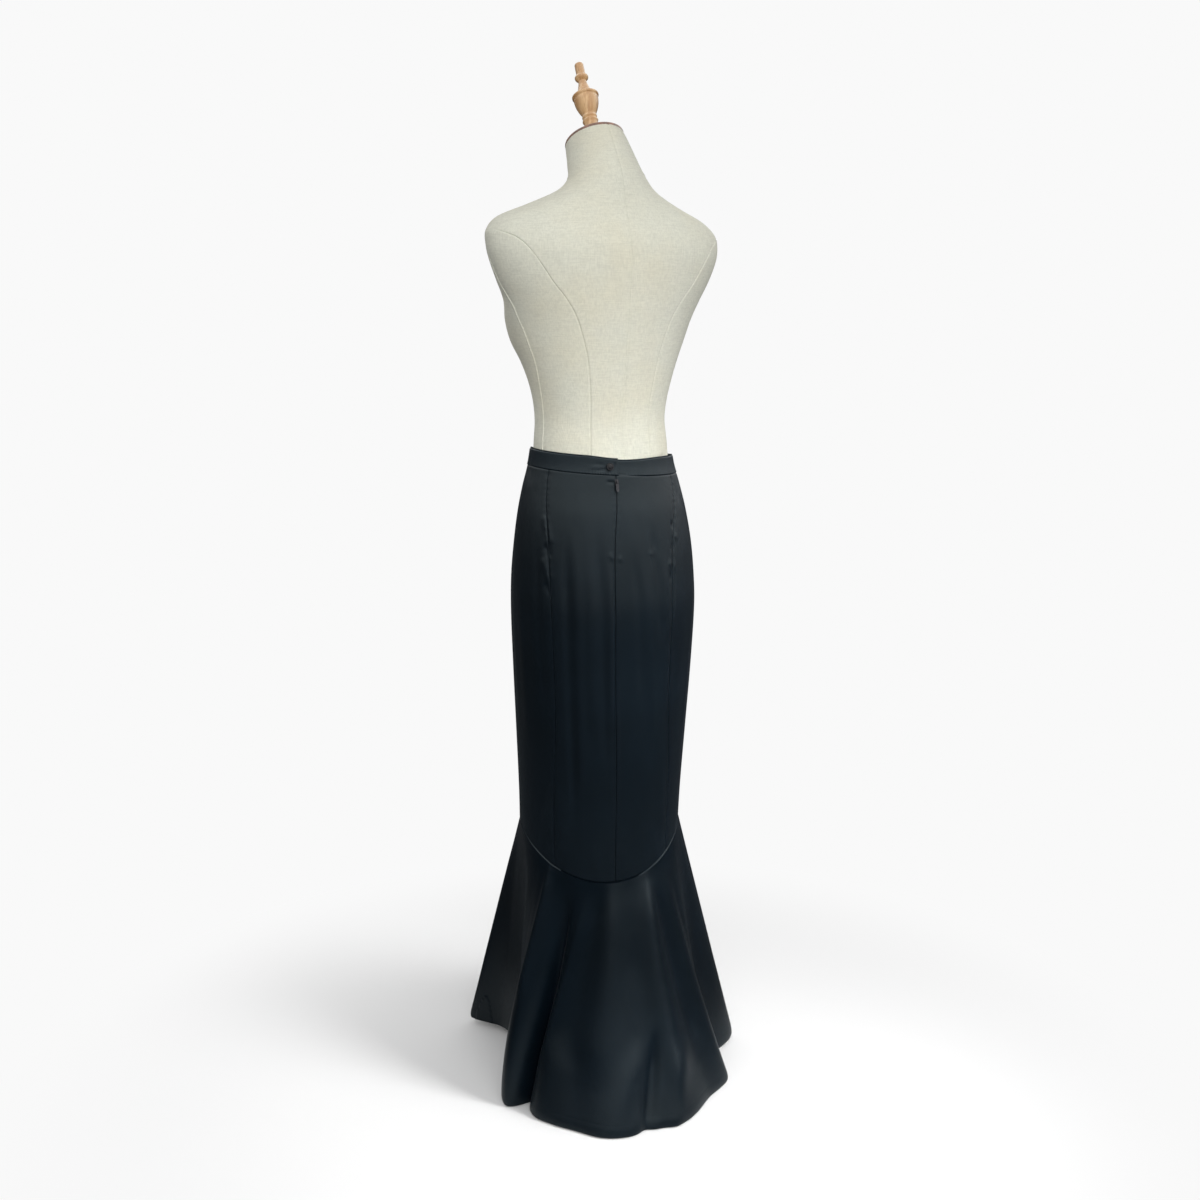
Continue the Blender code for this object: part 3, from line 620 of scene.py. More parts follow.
def surface_frame(angle, height, out):
    """A frame on the skirt: X to the wearer's left, Y out of the cloth and Z up along it."""
    here = skirt_surface(np.array([angle]), np.array([height]))[0]
    up = skirt_surface(np.array([angle]), np.array([height + 0.001]))[0]
    up = Vector(up - skirt_surface(np.array([angle]), np.array([height - 0.001]))[0]).normalized()
    side = Vector(
        skirt_surface(np.array([angle + 0.1]), np.array([height]))[0]
        - skirt_surface(np.array([angle - 0.1]), np.array([height]))[0]
    ).normalized()
    out_of = up.cross(side).normalized()
    side = out_of.cross(up)
    place = Matrix((side, out_of, up)).transposed().to_4x4()
    place.translation = Vector(here) + out_of * out
    return place


def neck_frame():
    top = FORM[-1]
    place = Matrix.Rotation(math.atan(NECK_TILT), 4, "X")
    place.translation = Vector((0.0, top.middle, top.height))
    return place


# --------------------------------------------------------------------------------------
# Shader maths
# --------------------------------------------------------------------------------------

class Wire:
    """A socket whose arithmetic adds Math nodes."""

    def __init__(self, nodes, socket):
        self.nodes = nodes
        self.socket = socket

    def combine(self, operation, *values):
        return self.nodes.node("ShaderNodeMath", {"operation": operation}, values)

    def __add__(self, other):
        return self.combine("ADD", self, other)

    def __radd__(self, other):
        return self.combine("ADD", other, self)

    def __mul__(self, other):
        return self.combine("MULTIPLY", self, other)

    def __rmul__(self, other):
        return self.combine("MULTIPLY", other, self)

    def sine(self):
        return self.combine("SINE", self)

    def root(self):
        return self.combine("SQRT", self)

    def clamped(self, low, high):
        """0 below low, 1 above high and a soft step between."""
        return self.nodes.node(
            "ShaderNodeMapRange", {"interpolation_type": "SMOOTHSTEP", "clamp": True},
            {"Value": self, "From Min": low, "From Max": high},
        )


class Finish:
    """One material being built."""

    def __init__(self, name, **constants):
        self.material = bpy.data.materials.new(name)
        self.material.use_nodes = True
        self.tree = self.material.node_tree
        self.shader = self.tree.nodes["Principled BSDF"]
        for socket, value in constants.items():
            self.shader.inputs[socket.replace("_", " ")].default_value = value

    def node(self, kind, settings=None, values=()):
        made = self.tree.nodes.new(kind)
        for name, value in (settings or {}).items():
            setattr(made, name, value)
        named = values.items() if isinstance(values, dict) else enumerate(values)
        for key, value in named:
            self.set(made.inputs[key], value)
        return Wire(self, made.outputs[0])

    def set(self, socket, value):
        if isinstance(value, Wire):
            self.tree.links.new(value.socket, socket)
        else:
            socket.default_value = value

    def place(self, scale=(1.0, 1.0, 1.0), source="Object"):
        """Object or UV coordinates, stretched."""
        made = self.tree.nodes.new("ShaderNodeTexCoord")
        return self.node(
            "ShaderNodeMapping", None,
            {"Vector": Wire(self, made.outputs[source]), "Scale": scale},
        )

    def noise(self, where, scale, detail=3.0, roughness=0.55):
        return self.node(
            "ShaderNodeTexNoise", None,
            {"Vector": where, "Scale": scale, "Detail": detail, "Roughness": roughness},
        )

    def split(self, where):
        made = self.tree.nodes.new("ShaderNodeSeparateXYZ")
        self.set(made.inputs[0], where)
        return [Wire(self, made.outputs[axis]) for axis in range(3)]

    def blend(self, part, first, second):
        made = self.tree.nodes.new("ShaderNodeMix")
        made.data_type = "RGBA"
        self.set(made.inputs[0], part)
        for socket, value in ((made.inputs[6], first), (made.inputs[7], second)):
            self.set(socket, value if isinstance(value, Wire) else (*value, 1.0))
        return Wire(self, made.outputs[2])

    def bump(self, height, distance, strength):
        return self.node(
            "ShaderNodeBump", None,
            {"Height": height, "Distance": distance, "Strength": strength},
        )

    def done(self, **links):
        for socket, value in links.items():
            self.set(self.shader.inputs[socket.replace("_", " ")], value)
        return self.material


def shade(colour, factor):
    return tuple(channel * factor for channel in colour)


def satin_finish(name, colour, sheen_level, rough):
    """Dense black satin: fine floats across the weave, dye a little uneven, a soft broad shine."""
    made = Finish(
        name, Specular_IOR_Level=sheen_level, Specular_Tint=(0.84, 0.98, 1.0, 1.0), Anisotropic=0.25,
        Sheen_Weight=0.02, Sheen_Roughness=0.45, Sheen_Tint=(0.75, 0.88, 1.0, 1.0),
    )
    weave = made.place((1.0, 1.0, 1.0), "UV")
    across, down, _ = made.split(weave)
    floats = (across * 14000.0 + down * 5200.0).sine() * 0.5 + (down * 15500.0).sine() * 0.5
    body = made.place()
    slow = made.noise(body, 5.0, 3.0)
    slub = made.noise(made.place((260.0, 260.0, 26.0)), 1.0, 2.0)
    crumple = made.noise(body, 34.0, 4.0, 0.6)
    dye = slow.clamped(0.30, 0.72)
    colour_out = made.blend(dye, shade(colour, 0.80), shade(colour, 1.25))
    rough = rough + 0.08 * slow + 0.04 * slub
    height = 0.08 * floats + 0.22 * slub + 1.6 * crumple
    return made.done(Base_Color=colour_out, Roughness=rough, Normal=made.bump(height, 0.0005, 0.45))


def linen_finish(name, colour):
    """Plain-weave linen glued tight on the form, with slubs and a yellowed unevenness."""
    made = Finish(name, Specular_IOR_Level=0.20, Sheen_Weight=0.10, Sheen_Roughness=0.6)
    body = made.place()
    x, y, z = made.split(body)
    warp = ((x + y * 0.6) * 5200.0).sine() * 0.5
    weft = (z * 5600.0).sine() * 0.5
    slub_up = made.noise(made.place((700.0, 700.0, 55.0)), 1.0, 2.0)
    slub_side = made.noise(made.place((60.0, 60.0, 760.0)), 1.0, 2.0)
    stain = made.noise(body, 7.0, 4.0)
    speck = made.noise(body, 260.0, 2.0)
    tone = (0.45 * slub_up + 0.45 * slub_side + 0.35 * speck).clamped(0.42, 0.82)
    thread = made.blend(tone, shade(colour, 0.88), shade(colour, 1.07))
    warm = (colour[0] * 1.02, colour[1] * 0.985, colour[2] * 0.93)
    yellowed = made.blend(tone, shade(warm, 0.90), shade(warm, 1.05))
    cloth = made.blend(stain.clamped(0.35, 0.75), thread, yellowed)
    height = warp * 0.3 + weft * 0.3 + slub_up + slub_side
    return made.done(
        Base_Color=cloth, Roughness=0.82 + 0.10 * speck,
        Normal=made.bump(height, 0.0004, 0.5),
    )


def wood_finish(name, colour, dark, rough):
    """Turned wood: grain along the piece, pores, and a thin varnish."""
    made = Finish(name, Coat_Weight=0.25, Coat_Roughness=0.22)
    long_way = made.place((90.0, 90.0, 9.0))
    grain = made.noise(long_way, 2.2, 5.0, 0.6)
    rings = ((made.split(made.place((150.0, 150.0, 12.0)))[0] + 3.0 * grain) * 2.4).sine() * 0.5 + 0.5
    pores = made.noise(made.place((900.0, 900.0, 70.0)), 1.0, 2.0)
    tone = (0.55 * grain + 0.35 * rings).clamped(0.25, 0.75)
    base = made.blend(tone, dark, colour)
    pored = made.blend(pores.clamped(0.60, 0.74), base, shade(dark, 0.7))
    return made.done(
        Base_Color=pored, Roughness=rough + 0.12 * grain,
        Normal=made.bump(grain + pores * 0.5, 0.0003, 0.4),
    )


def metal_finish(name, colour, rough):
    """Plated metal with a little wear and fine brush marks."""
    made = Finish(name, Metallic=1.0)
    wear = made.noise(made.place(), 420.0, 4.0)
    brushed = made.noise(made.place((300.0, 300.0, 2400.0)), 1.0, 2.0)
    tone = made.blend(wear.clamped(0.35, 0.75), shade(colour, 0.75), shade(colour, 1.25))
    return made.done(
        Base_Color=tone, Roughness=rough + 0.14 * wear,
        Normal=made.bump(brushed + wear, 0.00005, 0.4),
    )


def powder_finish(name, colour):
    """Powder coat with a fine grit, dusty in places."""
    made = Finish(name, Specular_IOR_Level=0.4)
    grit = made.noise(made.place(), 1500.0, 2.0)
    dust = made.noise(made.place(), 22.0, 4.0)
    tone = made.blend(dust.clamped(0.4, 0.8), colour, shade(colour, 1.9))
    return made.done(Base_Color=tone, Roughness=0.48 + 0.2 * dust, Normal=made.bump(grit, 0.0002, 0.5))


def button_finish(name, colour):
    """Moulded plastic with a faint swirl."""
    made = Finish(name, Coat_Weight=0.05, Coat_Roughness=0.10, Specular_IOR_Level=0.25)
    swirl = made.noise(made.place(), 700.0, 4.0)
    tone = made.blend(swirl.clamped(0.35, 0.7), colour, shade(colour, 2.2))
    return made.done(
        Base_Color=tone, Roughness=0.28 + 0.10 * swirl,
        Normal=made.bump(swirl, 0.00006, 0.3),
    )


def tape_finish(name, colour):
    """Ribbed woven tape with some lint."""
    made = Finish(name, Specular_IOR_Level=0.2)
    _, _, up = made.split(made.place())
    rib = (up * 7800.0).sine() * 0.5 + 0.5
    lint = made.noise(made.place(), 900.0, 3.0)
    tone = made.blend(rib, shade(colour, 0.7), shade(colour, 1.5))
    return made.done(
        Base_Color=tone, Roughness=0.75 + 0.15 * lint,
        Normal=made.bump(rib + lint, 0.0002, 0.6),
    )


# --------------------------------------------------------------------------------------
# Settings
# --------------------------------------------------------------------------------------

def colour_setting(name, description, default):
    return FloatVectorProperty(
        name=name, description=description, subtype="COLOR", size=3, min=0.0, max=1.0, default=default,
    )


def length_setting(name, description, default):
    return FloatProperty(
        name=name, description=description, unit="LENGTH", min=0.0, precision=5, default=default,
    )


class SkirtColours(bpy.types.PropertyGroup):
    satin: colour_setting("Satin", "Dye of the satin", (0.0016, 0.0038, 0.0066))
    linen: colour_setting("Linen", "Cover of the dress form", (0.590, 0.590, 0.505))
    wood: colour_setting("Light wood", "Finial", (0.640, 0.420, 0.220))
    wood_grain: colour_setting("Wood grain", "Dark lines of the finial", (0.450, 0.255, 0.115))
    cap: colour_setting("Cap wood", "Plate on the neck", (0.230, 0.110, 0.070))
    nickel: colour_setting("Nickel", "Zip slider and pull", (0.050, 0.050, 0.054))
    tape: colour_setting("Tape", "Zip tape", (0.008, 0.009, 0.011))
    plastic: colour_setting("Button", "Button", (0.006, 0.006, 0.007))
    stand: colour_setting("Stand", "Powder coat of the stand", (0.018, 0.018, 0.020))
    floor: colour_setting("Floor", "Studio floor", (0.720, 0.720, 0.720))


class SkirtSizes(bpy.types.PropertyGroup):
    cloth_wall: length_setting("Cloth", "Thickness of the satin with its interlining", 0.0012)
    band_wall: length_setting("Band", "Thickness of the folded waistband", 0.0020)
    edge_radius: length_setting("Seam edge", "Radius that a seam edge turns in with", 0.0011)
    turn_in: length_setting("Turn in", "How deep a seam allowance turns in", 0.0030)
    unevenness: length_setting("Unevenness", "Height of the faint waves in the satin", 0.00035)
    tooth: length_setting("Zip tooth", "Pitch of the zip's coil", 0.0015)
    panel_rows: IntProperty(
        name="Rows", description="Rows of a panel's mesh", min=20, max=400, default=210,
    )


# --------------------------------------------------------------------------------------
# Pieces
# --------------------------------------------------------------------------------------

def edge_tuck(distance, radius, turn_in, outermost):
    """How deep a seam edge lies below its panel: a rounded edge, then the allowance going in."""
    close = np.clip(1.0 - distance / radius, 0.0, 1.0)
    return radius * (1.0 - np.sqrt(1.0 - close ** 2)) + np.where(outermost, turn_in, 0.0)


def panel_surface(first_seam, last_seam, sizes):
    """The surface of one upper panel, with turned-in seam edges and its creases."""
    ends = [
        (float(seam_angle(first_seam, height)), float(seam_angle(last_seam, height)))
        for height in PANEL_END_HEIGHTS
    ]

    def surface(across, down):
        spaced, fall = crowded(across, PANEL_CROWDING[0]), crowded(down, PANEL_CROWDING[1])
        top = band_bottom(mix(ends[0][0], ends[0][1], spaced)) + PANEL_UNDER_BAND
        bottom = flounce_seam(mix(ends[1][0], ends[1][1], spaced)) + GAP / 2.0
        height = mix(top, bottom, fall)
        radius = through(SKIRT, height)[0]
        trim = np.degrees(GAP / 4.0 / radius)
        first = seam_angle(first_seam, height) + trim
        last = seam_angle(last_seam, height) - trim
        angle = mix(first, last, spaced)
        width = np.radians(last - first) * radius
        beside = np.minimum(spaced, 1.0 - spaced) * width
        outermost = (across <= 0.0) | (across >= 1.0)
        tuck = edge_tuck(beside, sizes.edge_radius, sizes.turn_in, outermost)
        tuck += edge_tuck(height - bottom, sizes.edge_radius, sizes.turn_in, down >= 1.0)
        tuck += PANEL_STEP_BACK * ramp(height, *(top - below for below in PANEL_STEP_AT))
        seam_dip = SEAM_DIP * bell(beside / SEAM_DIP_WIDTH)
        lift = crease_lift(SKIRT_CREASES, angle, height) * ramp(beside, 0.0, 0.0040)
        lift += waves(angle, height, sizes.unevenness) * ramp(top - height, 0.010, 0.060)
        puckers = PUCKER * np.sin(height * 620.0 + 2.0 * np.sin(height * 90.0))
        lift += puckers * bell(beside / PUCKER_WIDTH) * ramp(beside, 0.0, 0.0020)
        lift -= tuck + seam_dip
        return skirt_surface(angle, height) + skirt_out(angle, height) * lift[:, None]
    return surface


def flounce_surface(seams, sizes):
    """The surface of one flounce piece, from the curved seam to the hem."""
    def surface(across, down):
        spaced, fall = crowded(across, FLOUNCE_CROWDING[0]), crowded(down, FLOUNCE_CROWDING[1])
        angle = mix(*seams, spaced)
        hem_angle, reach, hem_height = through(WRAPPED_FOLDS, angle)
        start = skirt_surface(angle, flounce_seam(angle) - FLOUNCE_GAP + GAP / 2.0)
        turn = np.radians(hem_angle)
        hem = np.stack([reach * np.sin(turn), reach * np.cos(turn), hem_height], axis=-1)
        points = mix(start, hem, fall[:, None])
        away = unit(hem * (1.0, 1.0, 0.0))
        swell = FLOUNCE_SWELL * bell((hem_angle - FLOUNCE_SWELL_ANGLE) / FLOUNCE_SWELL_WIDTH)
        lift = swell * fall ** 2 * (1.0 - fall) + pleat_lift(angle, fall)
        lift += waves(angle * 1.3, fall * 0.4, sizes.unevenness * 1.6) * ramp(fall, 0.0, 0.1)
        sag = FLOUNCE_SAG * bell((angle - FLOUNCE_SAG_ANGLE) / FLOUNCE_SAG_WIDTH)
        lift -= sag * np.sin(np.pi * fall)
        depth = fall * FLOUNCE_DROP
        rolled = np.clip(1.0 - (FLOUNCE_DROP - depth) / HEM_ROLL_HEIGHT, 0.0, 1.0)
        lift -= HEM_ROLL * (1.0 - np.sqrt(1.0 - (HEM_ROUNDNESS * rolled) ** 2))
        # the allowance goes in and up behind the panels above, so that no light shows through
        lift -= edge_tuck(depth, 0.3 * sizes.edge_radius, 1.6 * sizes.turn_in, down <= 0.0)
        points[:, 2] += np.where(down <= 0.0, FLOUNCE_TUCK_RISE, 0.0)
        lift -= HEM_STITCH_DIP * bell((depth - HEM_STITCHES) / HEM_STITCH_WIDTH)
        return points + away * lift[:, None]
    return surface


Panel = namedtuple("Panel", "node first last columns flat area")

# flat is the width and length of the rectangle round the cut, area the cut's own square metres.
# Both are worked out from the lengths of the seams, without creases or seam allowances.
PANELS = (
    Panel("front_panel", 2, 6, 150, (0.416, 0.581), 0.2248),
    Panel("side_back_left", 1, 2, 64, (0.108, 0.630), 0.0572),
    Panel("centre_back_left", 0, 1, 64, (0.109, 0.644), 0.0623),
    Panel("centre_back_right", -1, 0, 64, (0.116, 0.644), 0.0648),
    Panel("side_back_right", -2, -1, 64, (0.120, 0.616), 0.0613),
)

FlouncePiece = namedtuple("FlouncePiece", "node first last flat area hangs_from")

# Each is cut as part of a ring, so the rectangle round it is wider than its seam.
FLOUNCE_PIECES = (
    FlouncePiece("flounce_back", -2, 2, (0.895, 0.477), 0.2841, (
        "satin_side_back_left", "satin_centre_back_left",
        "satin_centre_back_right", "satin_side_back_right",
    )),
    FlouncePiece("flounce_front", 2, 6, (0.720, 0.487), 0.2539, ("satin_front_panel",)),
)
BAND_FLAT = (0.684, 0.026)
FLOUNCE_CUT_HEIGHT = 0.40


def dress(piece, node):
    """Let a piece stand for its node, on the body that the whole skirt and form are on."""
    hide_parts(node)
    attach(piece, ROOT)


def recoat(names, finish):
    """Give the frame's own meshes a finish."""
    for name in names:
        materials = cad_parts[name].data.materials
        materials.clear()
        materials.append(finish)


class SKIRT_OT_panels(bpy.types.Operator):
    """Sew the five upper panels: front, two side backs and two centre backs"""
    bl_idname = "skirt.panels"
    bl_label = "Upper Panels"

    def execute(self, context):
        sizes = context.scene.skirt_sizes
        colours = context.scene.skirt_colours
        satin = satin_finish("satin_upper", colours.satin, 0.36, 0.38)
        for panel in PANELS:
            piece = cloth_shell(
                "satin_" + panel.node, panel_surface(panel.first, panel.last, sizes),
                panel.columns, sizes.panel_rows, sizes.cloth_wall, satin, panel.flat,
            )
            dress(piece, panel.node)
        return {"FINISHED"}


class SKIRT_OT_flounce(bpy.types.Operator):
    """Hang the back and the front piece of the flounce from the curved seam"""
    bl_idname = "skirt.flounce"
    bl_label = "Flounce"

    def execute(self, context):
        sizes = context.scene.skirt_sizes
        colours = context.scene.skirt_colours
        # painted shade: the flounce's satin is the panels' dye at 0.9 times its lightness, for the
        # shade low down on the skirt
        satin = satin_finish("satin_flounce", shade(colours.satin, 0.9), 0.26, 0.24)
        for cut in FLOUNCE_PIECES:
            seams = [float(seam_angle(side, FLOUNCE_CUT_HEIGHT)) for side in (cut.first, cut.last)]
            piece = cloth_shell(
                "satin_" + cut.node, flounce_surface(seams, sizes), *FLOUNCE_GRID,
                sizes.cloth_wall, satin, cut.flat,
            )
            dress(piece, cut.node)
        return {"FINISHED"}


class SKIRT_OT_waistband(bpy.types.Operator):
    """Wrap the folded waistband, its left end lapped over its right end"""
    bl_idname = "skirt.waistband"
    bl_label = "Waistband"

    def execute(self, context):
        sizes = context.scene.skirt_sizes
        colours = context.scene.skirt_colours
        # painted light: the band's satin is the panels' dye made 1.3 times lighter, for the light that
        # falls on the top of the skirt
        satin = satin_finish("satin_band", shade(colours.satin, 1.3), 0.44, 0.36)
        last = 360.0 + BAND_OVER_END + BAND_UNDERLAP

        def surface(across, down):
            angle = mix(BAND_OVER_END, last, crowded(across, BAND_CROWDING[0]))
            top, bottom = band_top(angle), band_bottom(angle)
            height = mix(top, bottom, crowded(down, BAND_CROWDING[1]))
            inset = BAND_INSET * ramp(angle, 345.0, 360.0 + BAND_OVER_END - 1.5)
            points = skirt_surface(angle, height, BAND_PROUD)
            edge = np.minimum(top - height, height - bottom)
            end = np.radians(angle - BAND_OVER_END) * BAND_RADIUS
            tuck = edge_tuck(np.minimum(edge, end), BAND_EDGE_RADIUS, 0.0, False)
            lift = crease_lift(BAND_CREASES, angle, height, BAND_RADIUS) * ramp(inset, 0.0004, 0.0)
            lift += waves(angle, height * 3.0, BAND_WAVES)
            puckers = BAND_PUCKER * np.sin(angle * 2.9 + 2.0 * np.sin(angle * 0.31))
            lift += puckers * bell((height - bottom) / BAND_PUCKER_WIDTH)
            return points + skirt_out(angle, height) * (lift - tuck - inset)[:, None]

        piece = cloth_shell("satin_waistband", surface, *BAND_GRID, sizes.band_wall, satin, BAND_FLAT)
        dress(piece, "waistband")
        return {"FINISHED"}


class SKIRT_OT_fastening(bpy.types.Operator):
    """Fit the zip's coil, tape, slider and pull, and the button"""
    bl_idname = "skirt.fastening"
    bl_label = "Zip and Button"

    def execute(self, context):
        sizes = context.scene.skirt_sizes
        colours = context.scene.skirt_colours
        recoat(("zip_slider", "zip_pull"), metal_finish("zip_nickel", colours.nickel, 0.26))
        recoat(("zip_tape",), tape_finish("zip_tape_weave", colours.tape))
        self.coil(sizes, tape_finish("zip_coil_nylon", colours.tape))
        self.button(button_finish("button_black", colours.plastic))
        return {"FINISHED"}

    def coil(self, sizes, finish):
        """Small rounded teeth, in turn from the left and the right of the slit."""
        shape = bmesh.new()
        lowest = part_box("zip_tape")[0].z + 0.004
        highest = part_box("zip_slider")[0].z
        count = int((highest - lowest) / sizes.tooth)
        for index in range(count):
            height = lowest + index * sizes.tooth
            angle = float(seam_angle(0, height))
            place = surface_frame(angle, height, -COIL_DEPTH)
            side = TOOTH_ASIDE if index % 2 else -TOOTH_ASIDE
            size = Matrix.Diagonal((*TOOTH_SIZE, 1.0))
            made = bmesh.ops.create_cube(
                shape, size=1.0, matrix=place @ Matrix.Translation((side, 0.0, 0.0)) @ size,
            )
            edges = {edge for vertex in made["verts"] for edge in vertex.link_edges}
            bmesh.ops.bevel(
                shape, geom=list(edges), offset=TOOTH_EDGE, segments=1, profile=0.5,
                affect="EDGES", material=-1,
            )
        facing_out(shape)
        piece = finish_mesh("zip_coil", shape, finish)
        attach(piece, ROOT)

    def button(self, finish):
        """A turned rim with a low dome in its middle."""
        height = float(band_top(BUTTON_ANGLE) + band_bottom(BUTTON_ANGLE)) / 2.0
        place = surface_frame(BUTTON_ANGLE, height, BAND_PROUD + BUTTON_SHANK)
        place = place @ Matrix.Rotation(-math.pi / 2.0, 4, "X")
        profile = (
            Turned(0.0000, BUTTON_RADIUS * 0.80), Turned(0.0008, BUTTON_RADIUS * 0.97),
            Turned(0.0016, BUTTON_RADIUS), Turned(0.0024, BUTTON_RADIUS * 0.93),
        )
        shape = turned_shape(smooth_profile(profile, 4), 72)
        bmesh.ops.transform(shape, matrix=place, verts=shape.verts)
        dome = bmesh.new()
        bmesh.ops.create_uvsphere(dome, u_segments=48, v_segments=24, radius=1.0)
        low = Matrix.Diagonal((DOME_RADIUS, DOME_RADIUS, DOME_RISE, 1.0))
        low = place @ Matrix.Translation((0.0, 0.0, DOME_BASE)) @ low
        bmesh.ops.transform(dome, matrix=low, verts=dome.verts)
        spare = bpy.data.meshes.new("button_dome")
        dome.to_mesh(spare)
        dome.free()
        shape.from_mesh(spare)
        bpy.data.meshes.remove(spare)
        facing_out(shape)
        piece = finish_mesh("button_turned", shape, finish)
        dress(piece, "button")


class SKIRT_OT_form(bpy.types.Operator):
    """Cover the dress form in linen and fit its cap, finial and stand"""
    bl_idname = "skirt.form"
    bl_label = "Dress Form"

    def execute(self, context):
        colours = context.scene.skirt_colours
        self.torso(linen_finish("linen_cover", colours.linen))
        self.cap(wood_finish("cap_wood", colours.cap, shade(colours.cap, 0.5), 0.42))
        shape = turned_shape(smooth_profile(FINIAL, 5), 96)
        place = neck_frame() @ Matrix.Translation((0.0, 0.0, CAP_WALL + 2.0 * GAP))
        bmesh.ops.transform(shape, matrix=place, verts=shape.verts)
        wood = wood_finish("finial_wood", colours.wood, colours.wood_grain, 0.34)
        dress(finish_mesh("finial_turned", shape, wood, 30.0), "finial")
        recoat(("stand_base", "stand_pole"), powder_finish("stand_powder", colours.stand))
        return {"FINISHED"}

    def torso(self, finish):
        shape = bmesh.new()
        bmesh.ops.create_grid(shape, x_segments=COVER_GRID[0], y_segments=COVER_GRID[1], size=0.5)
        flat = np.array([vertex.co[:] for vertex in shape.verts])
        height = mix(FORM[0].height, FORM[-1].height, flat[:, 1] + 0.5)
        angle = self.spread(flat[:, 0] + 0.5, height)
        points = form_surface(angle, height)
        inside = np.clip(height, FORM[0].height + 0.002, FORM[-1].height - 0.002)
        points += form_out(angle, inside) * self.seams(angle, height)[:, None]
        for vertex, point in zip(shape.verts, points):
            vertex.co = point
        bmesh.ops.remove_doubles(shape, verts=shape.verts, dist=1e-5)
        bmesh.ops.holes_fill(shape, edges=[edge for edge in shape.edges if edge.is_boundary])
        facing_out(shape)
        dress(finish_mesh("linen_torso", shape, finish, 50.0), "form_torso")

    def spread(self, across, height):
        """Angles of eight strips between the cover's seams, their columns crowded at the seams."""
        left = [through(line.rows, height)[0] for line in COVER_LINES]
        right = [360.0 - side for side in reversed(left)]
        back, front = np.zeros_like(height), np.full_like(height, 180.0)
        edges = np.stack([back, *left, front, *right, back + 360.0])
        strip = np.clip((across * 8.0 + 1e-9).astype(int), 0, 7)
        part = crowded(across * 8.0 - strip, COVER_CROWDING)
        place = np.arange(len(height))
        return mix(edges[strip, place], edges[strip + 1, place], part)

    def seams(self, angle, height):
        """The cover's seams, the same on both sides, those at its middles and the one at the neck."""
        around = np.abs(turned_from(angle, 0.0))
        half_width = through(FORM, height)[0]
        lift = np.zeros_like(angle)
        for line in COVER_LINES:
            place, below = through(line.rows, height)[0], through(line.rows, height - 0.001)[0]
            radius = half_width * 0.85
            slant = np.radians(place - below) * radius / 0.001
            off = np.radians(around - place) * radius / np.sqrt(1.0 + slant ** 2)
            shown = line.raised * ramp(height, line.top, line.top - 0.006)
            lift += shown * (bell(off / 0.0012) - 0.25 * bell(off / 0.0050))
        for centre in (0.0, 180.0):
            off = np.radians(turned_from(angle, centre)) * half_width * 0.7
            lift += 0.0003 * bell(off / 0.0045) - 0.0009 * bell(off / 0.0014)
        lift += 0.0005 * bell((height - COVER_NECK_HEIGHT - 0.003) / 0.0035)
        lift -= 0.0011 * bell((height - COVER_NECK_HEIGHT) / 0.0013)
        return lift

    def cap(self, finish):
        """The neck's own outline, a plate thick, with eased edges."""
        shape = bmesh.new()
        turn = neck_frame()
        back = turn.inverted()
        outline = form_surface(np.arange(0.0, 360.0, 3.0), np.full(120, FORM[-1].height))
        flat = [back @ Vector(point) for point in outline]
        verts = [shape.verts.new((point.x, point.y, GAP)) for point in flat]
        face = shape.faces.new(verts)
        pushed = bmesh.ops.extrude_face_region(shape, geom=[face])
        raised = [item for item in pushed["geom"] if isinstance(item, bmesh.types.BMVert)]
        bmesh.ops.translate(shape, verts=raised, vec=(0.0, 0.0, CAP_WALL))
        middle = CAP_WALL / 2.0
        top = [edge for edge in shape.edges if all(vertex.co.z > middle for vertex in edge.verts)]
        bmesh.ops.bevel(
            shape, geom=top, offset=CAP_EDGE, segments=3, profile=0.5, affect="EDGES", material=-1,
        )
        bmesh.ops.transform(shape, matrix=turn, verts=shape.verts)
        facing_out(shape)
        dress(finish_mesh("cap_plate", shape, finish, 50.0), "neck_cap")


# --------------------------------------------------------------------------------------
# Stage
# --------------------------------------------------------------------------------------

BACKDROP = (0.947, 0.947, 0.947)

# Strengths of the surroundings low down and high up, and the rises between which they change.
WORLD_MATT_RISE = (-0.6, 0.9)
WORLD_ON_MATT = (0.62, 0.80)
WORLD_GLOSS_RISE = (0.02, 0.60)
WORLD_IN_GLOSS = (0.00, 2.25)
WORLD_GLOSS_LEAN = 0.12
WORLD_LEAN_WAY = (-0.891, 0.454)

# Distances between which the floor's glow grows from its glow close by to the backdrop's.
FLOOR_REACH = (0.30, 1.00)
FLOOR_GLOW = 0.02
FLOOR_HALF = 30.0

# The floor as the object sees it, a painted pool of light: lighter close by, dark far off, and the
# distances between.
FLOOR_UNSEEN_LIT_NEAR = (0.45, 0.46, 0.46)
FLOOR_UNSEEN_DARK_FAR = (0.05, 0.05, 0.05)
FLOOR_UNSEEN_REACH = (0.20, 0.50)

# size is a disk's diameter, power is in watts, beam in degrees; mirrored says if gloss shows it.
Lamp = namedtuple("Lamp", "name place aim size power beam mirrored")

LAMPS = (
    Lamp("key", (-1.0, 1.7, 1.6), (0.2, -0.1, 0.0), 0.9, 6.8, 60.0, False),
    Lamp("fill", (1.2, 3.0, 1.5), (0.0, 0.0, 1.1), 2.6, 72.0, 180.0, False),
    Lamp("front", (0.6, -3.2, 1.5), (0.0, 0.0, 1.15), 1.6, 2.6, 50.0, False),
    Lamp("window", (-2.4, 2.2, 1.6), (0.0, 0.0, 0.15), 0.9, 0.30, 16.0, True),
)

CAMERA_AROUND = 153.0
CAMERA_DISTANCE = 2.2
CAMERA_HEIGHT = 1.2
CAMERA_DOWN = 10.2
CAMERA_ASIDE = 0.12
LENS = 42.15
LENS_WIDTH = 36.0


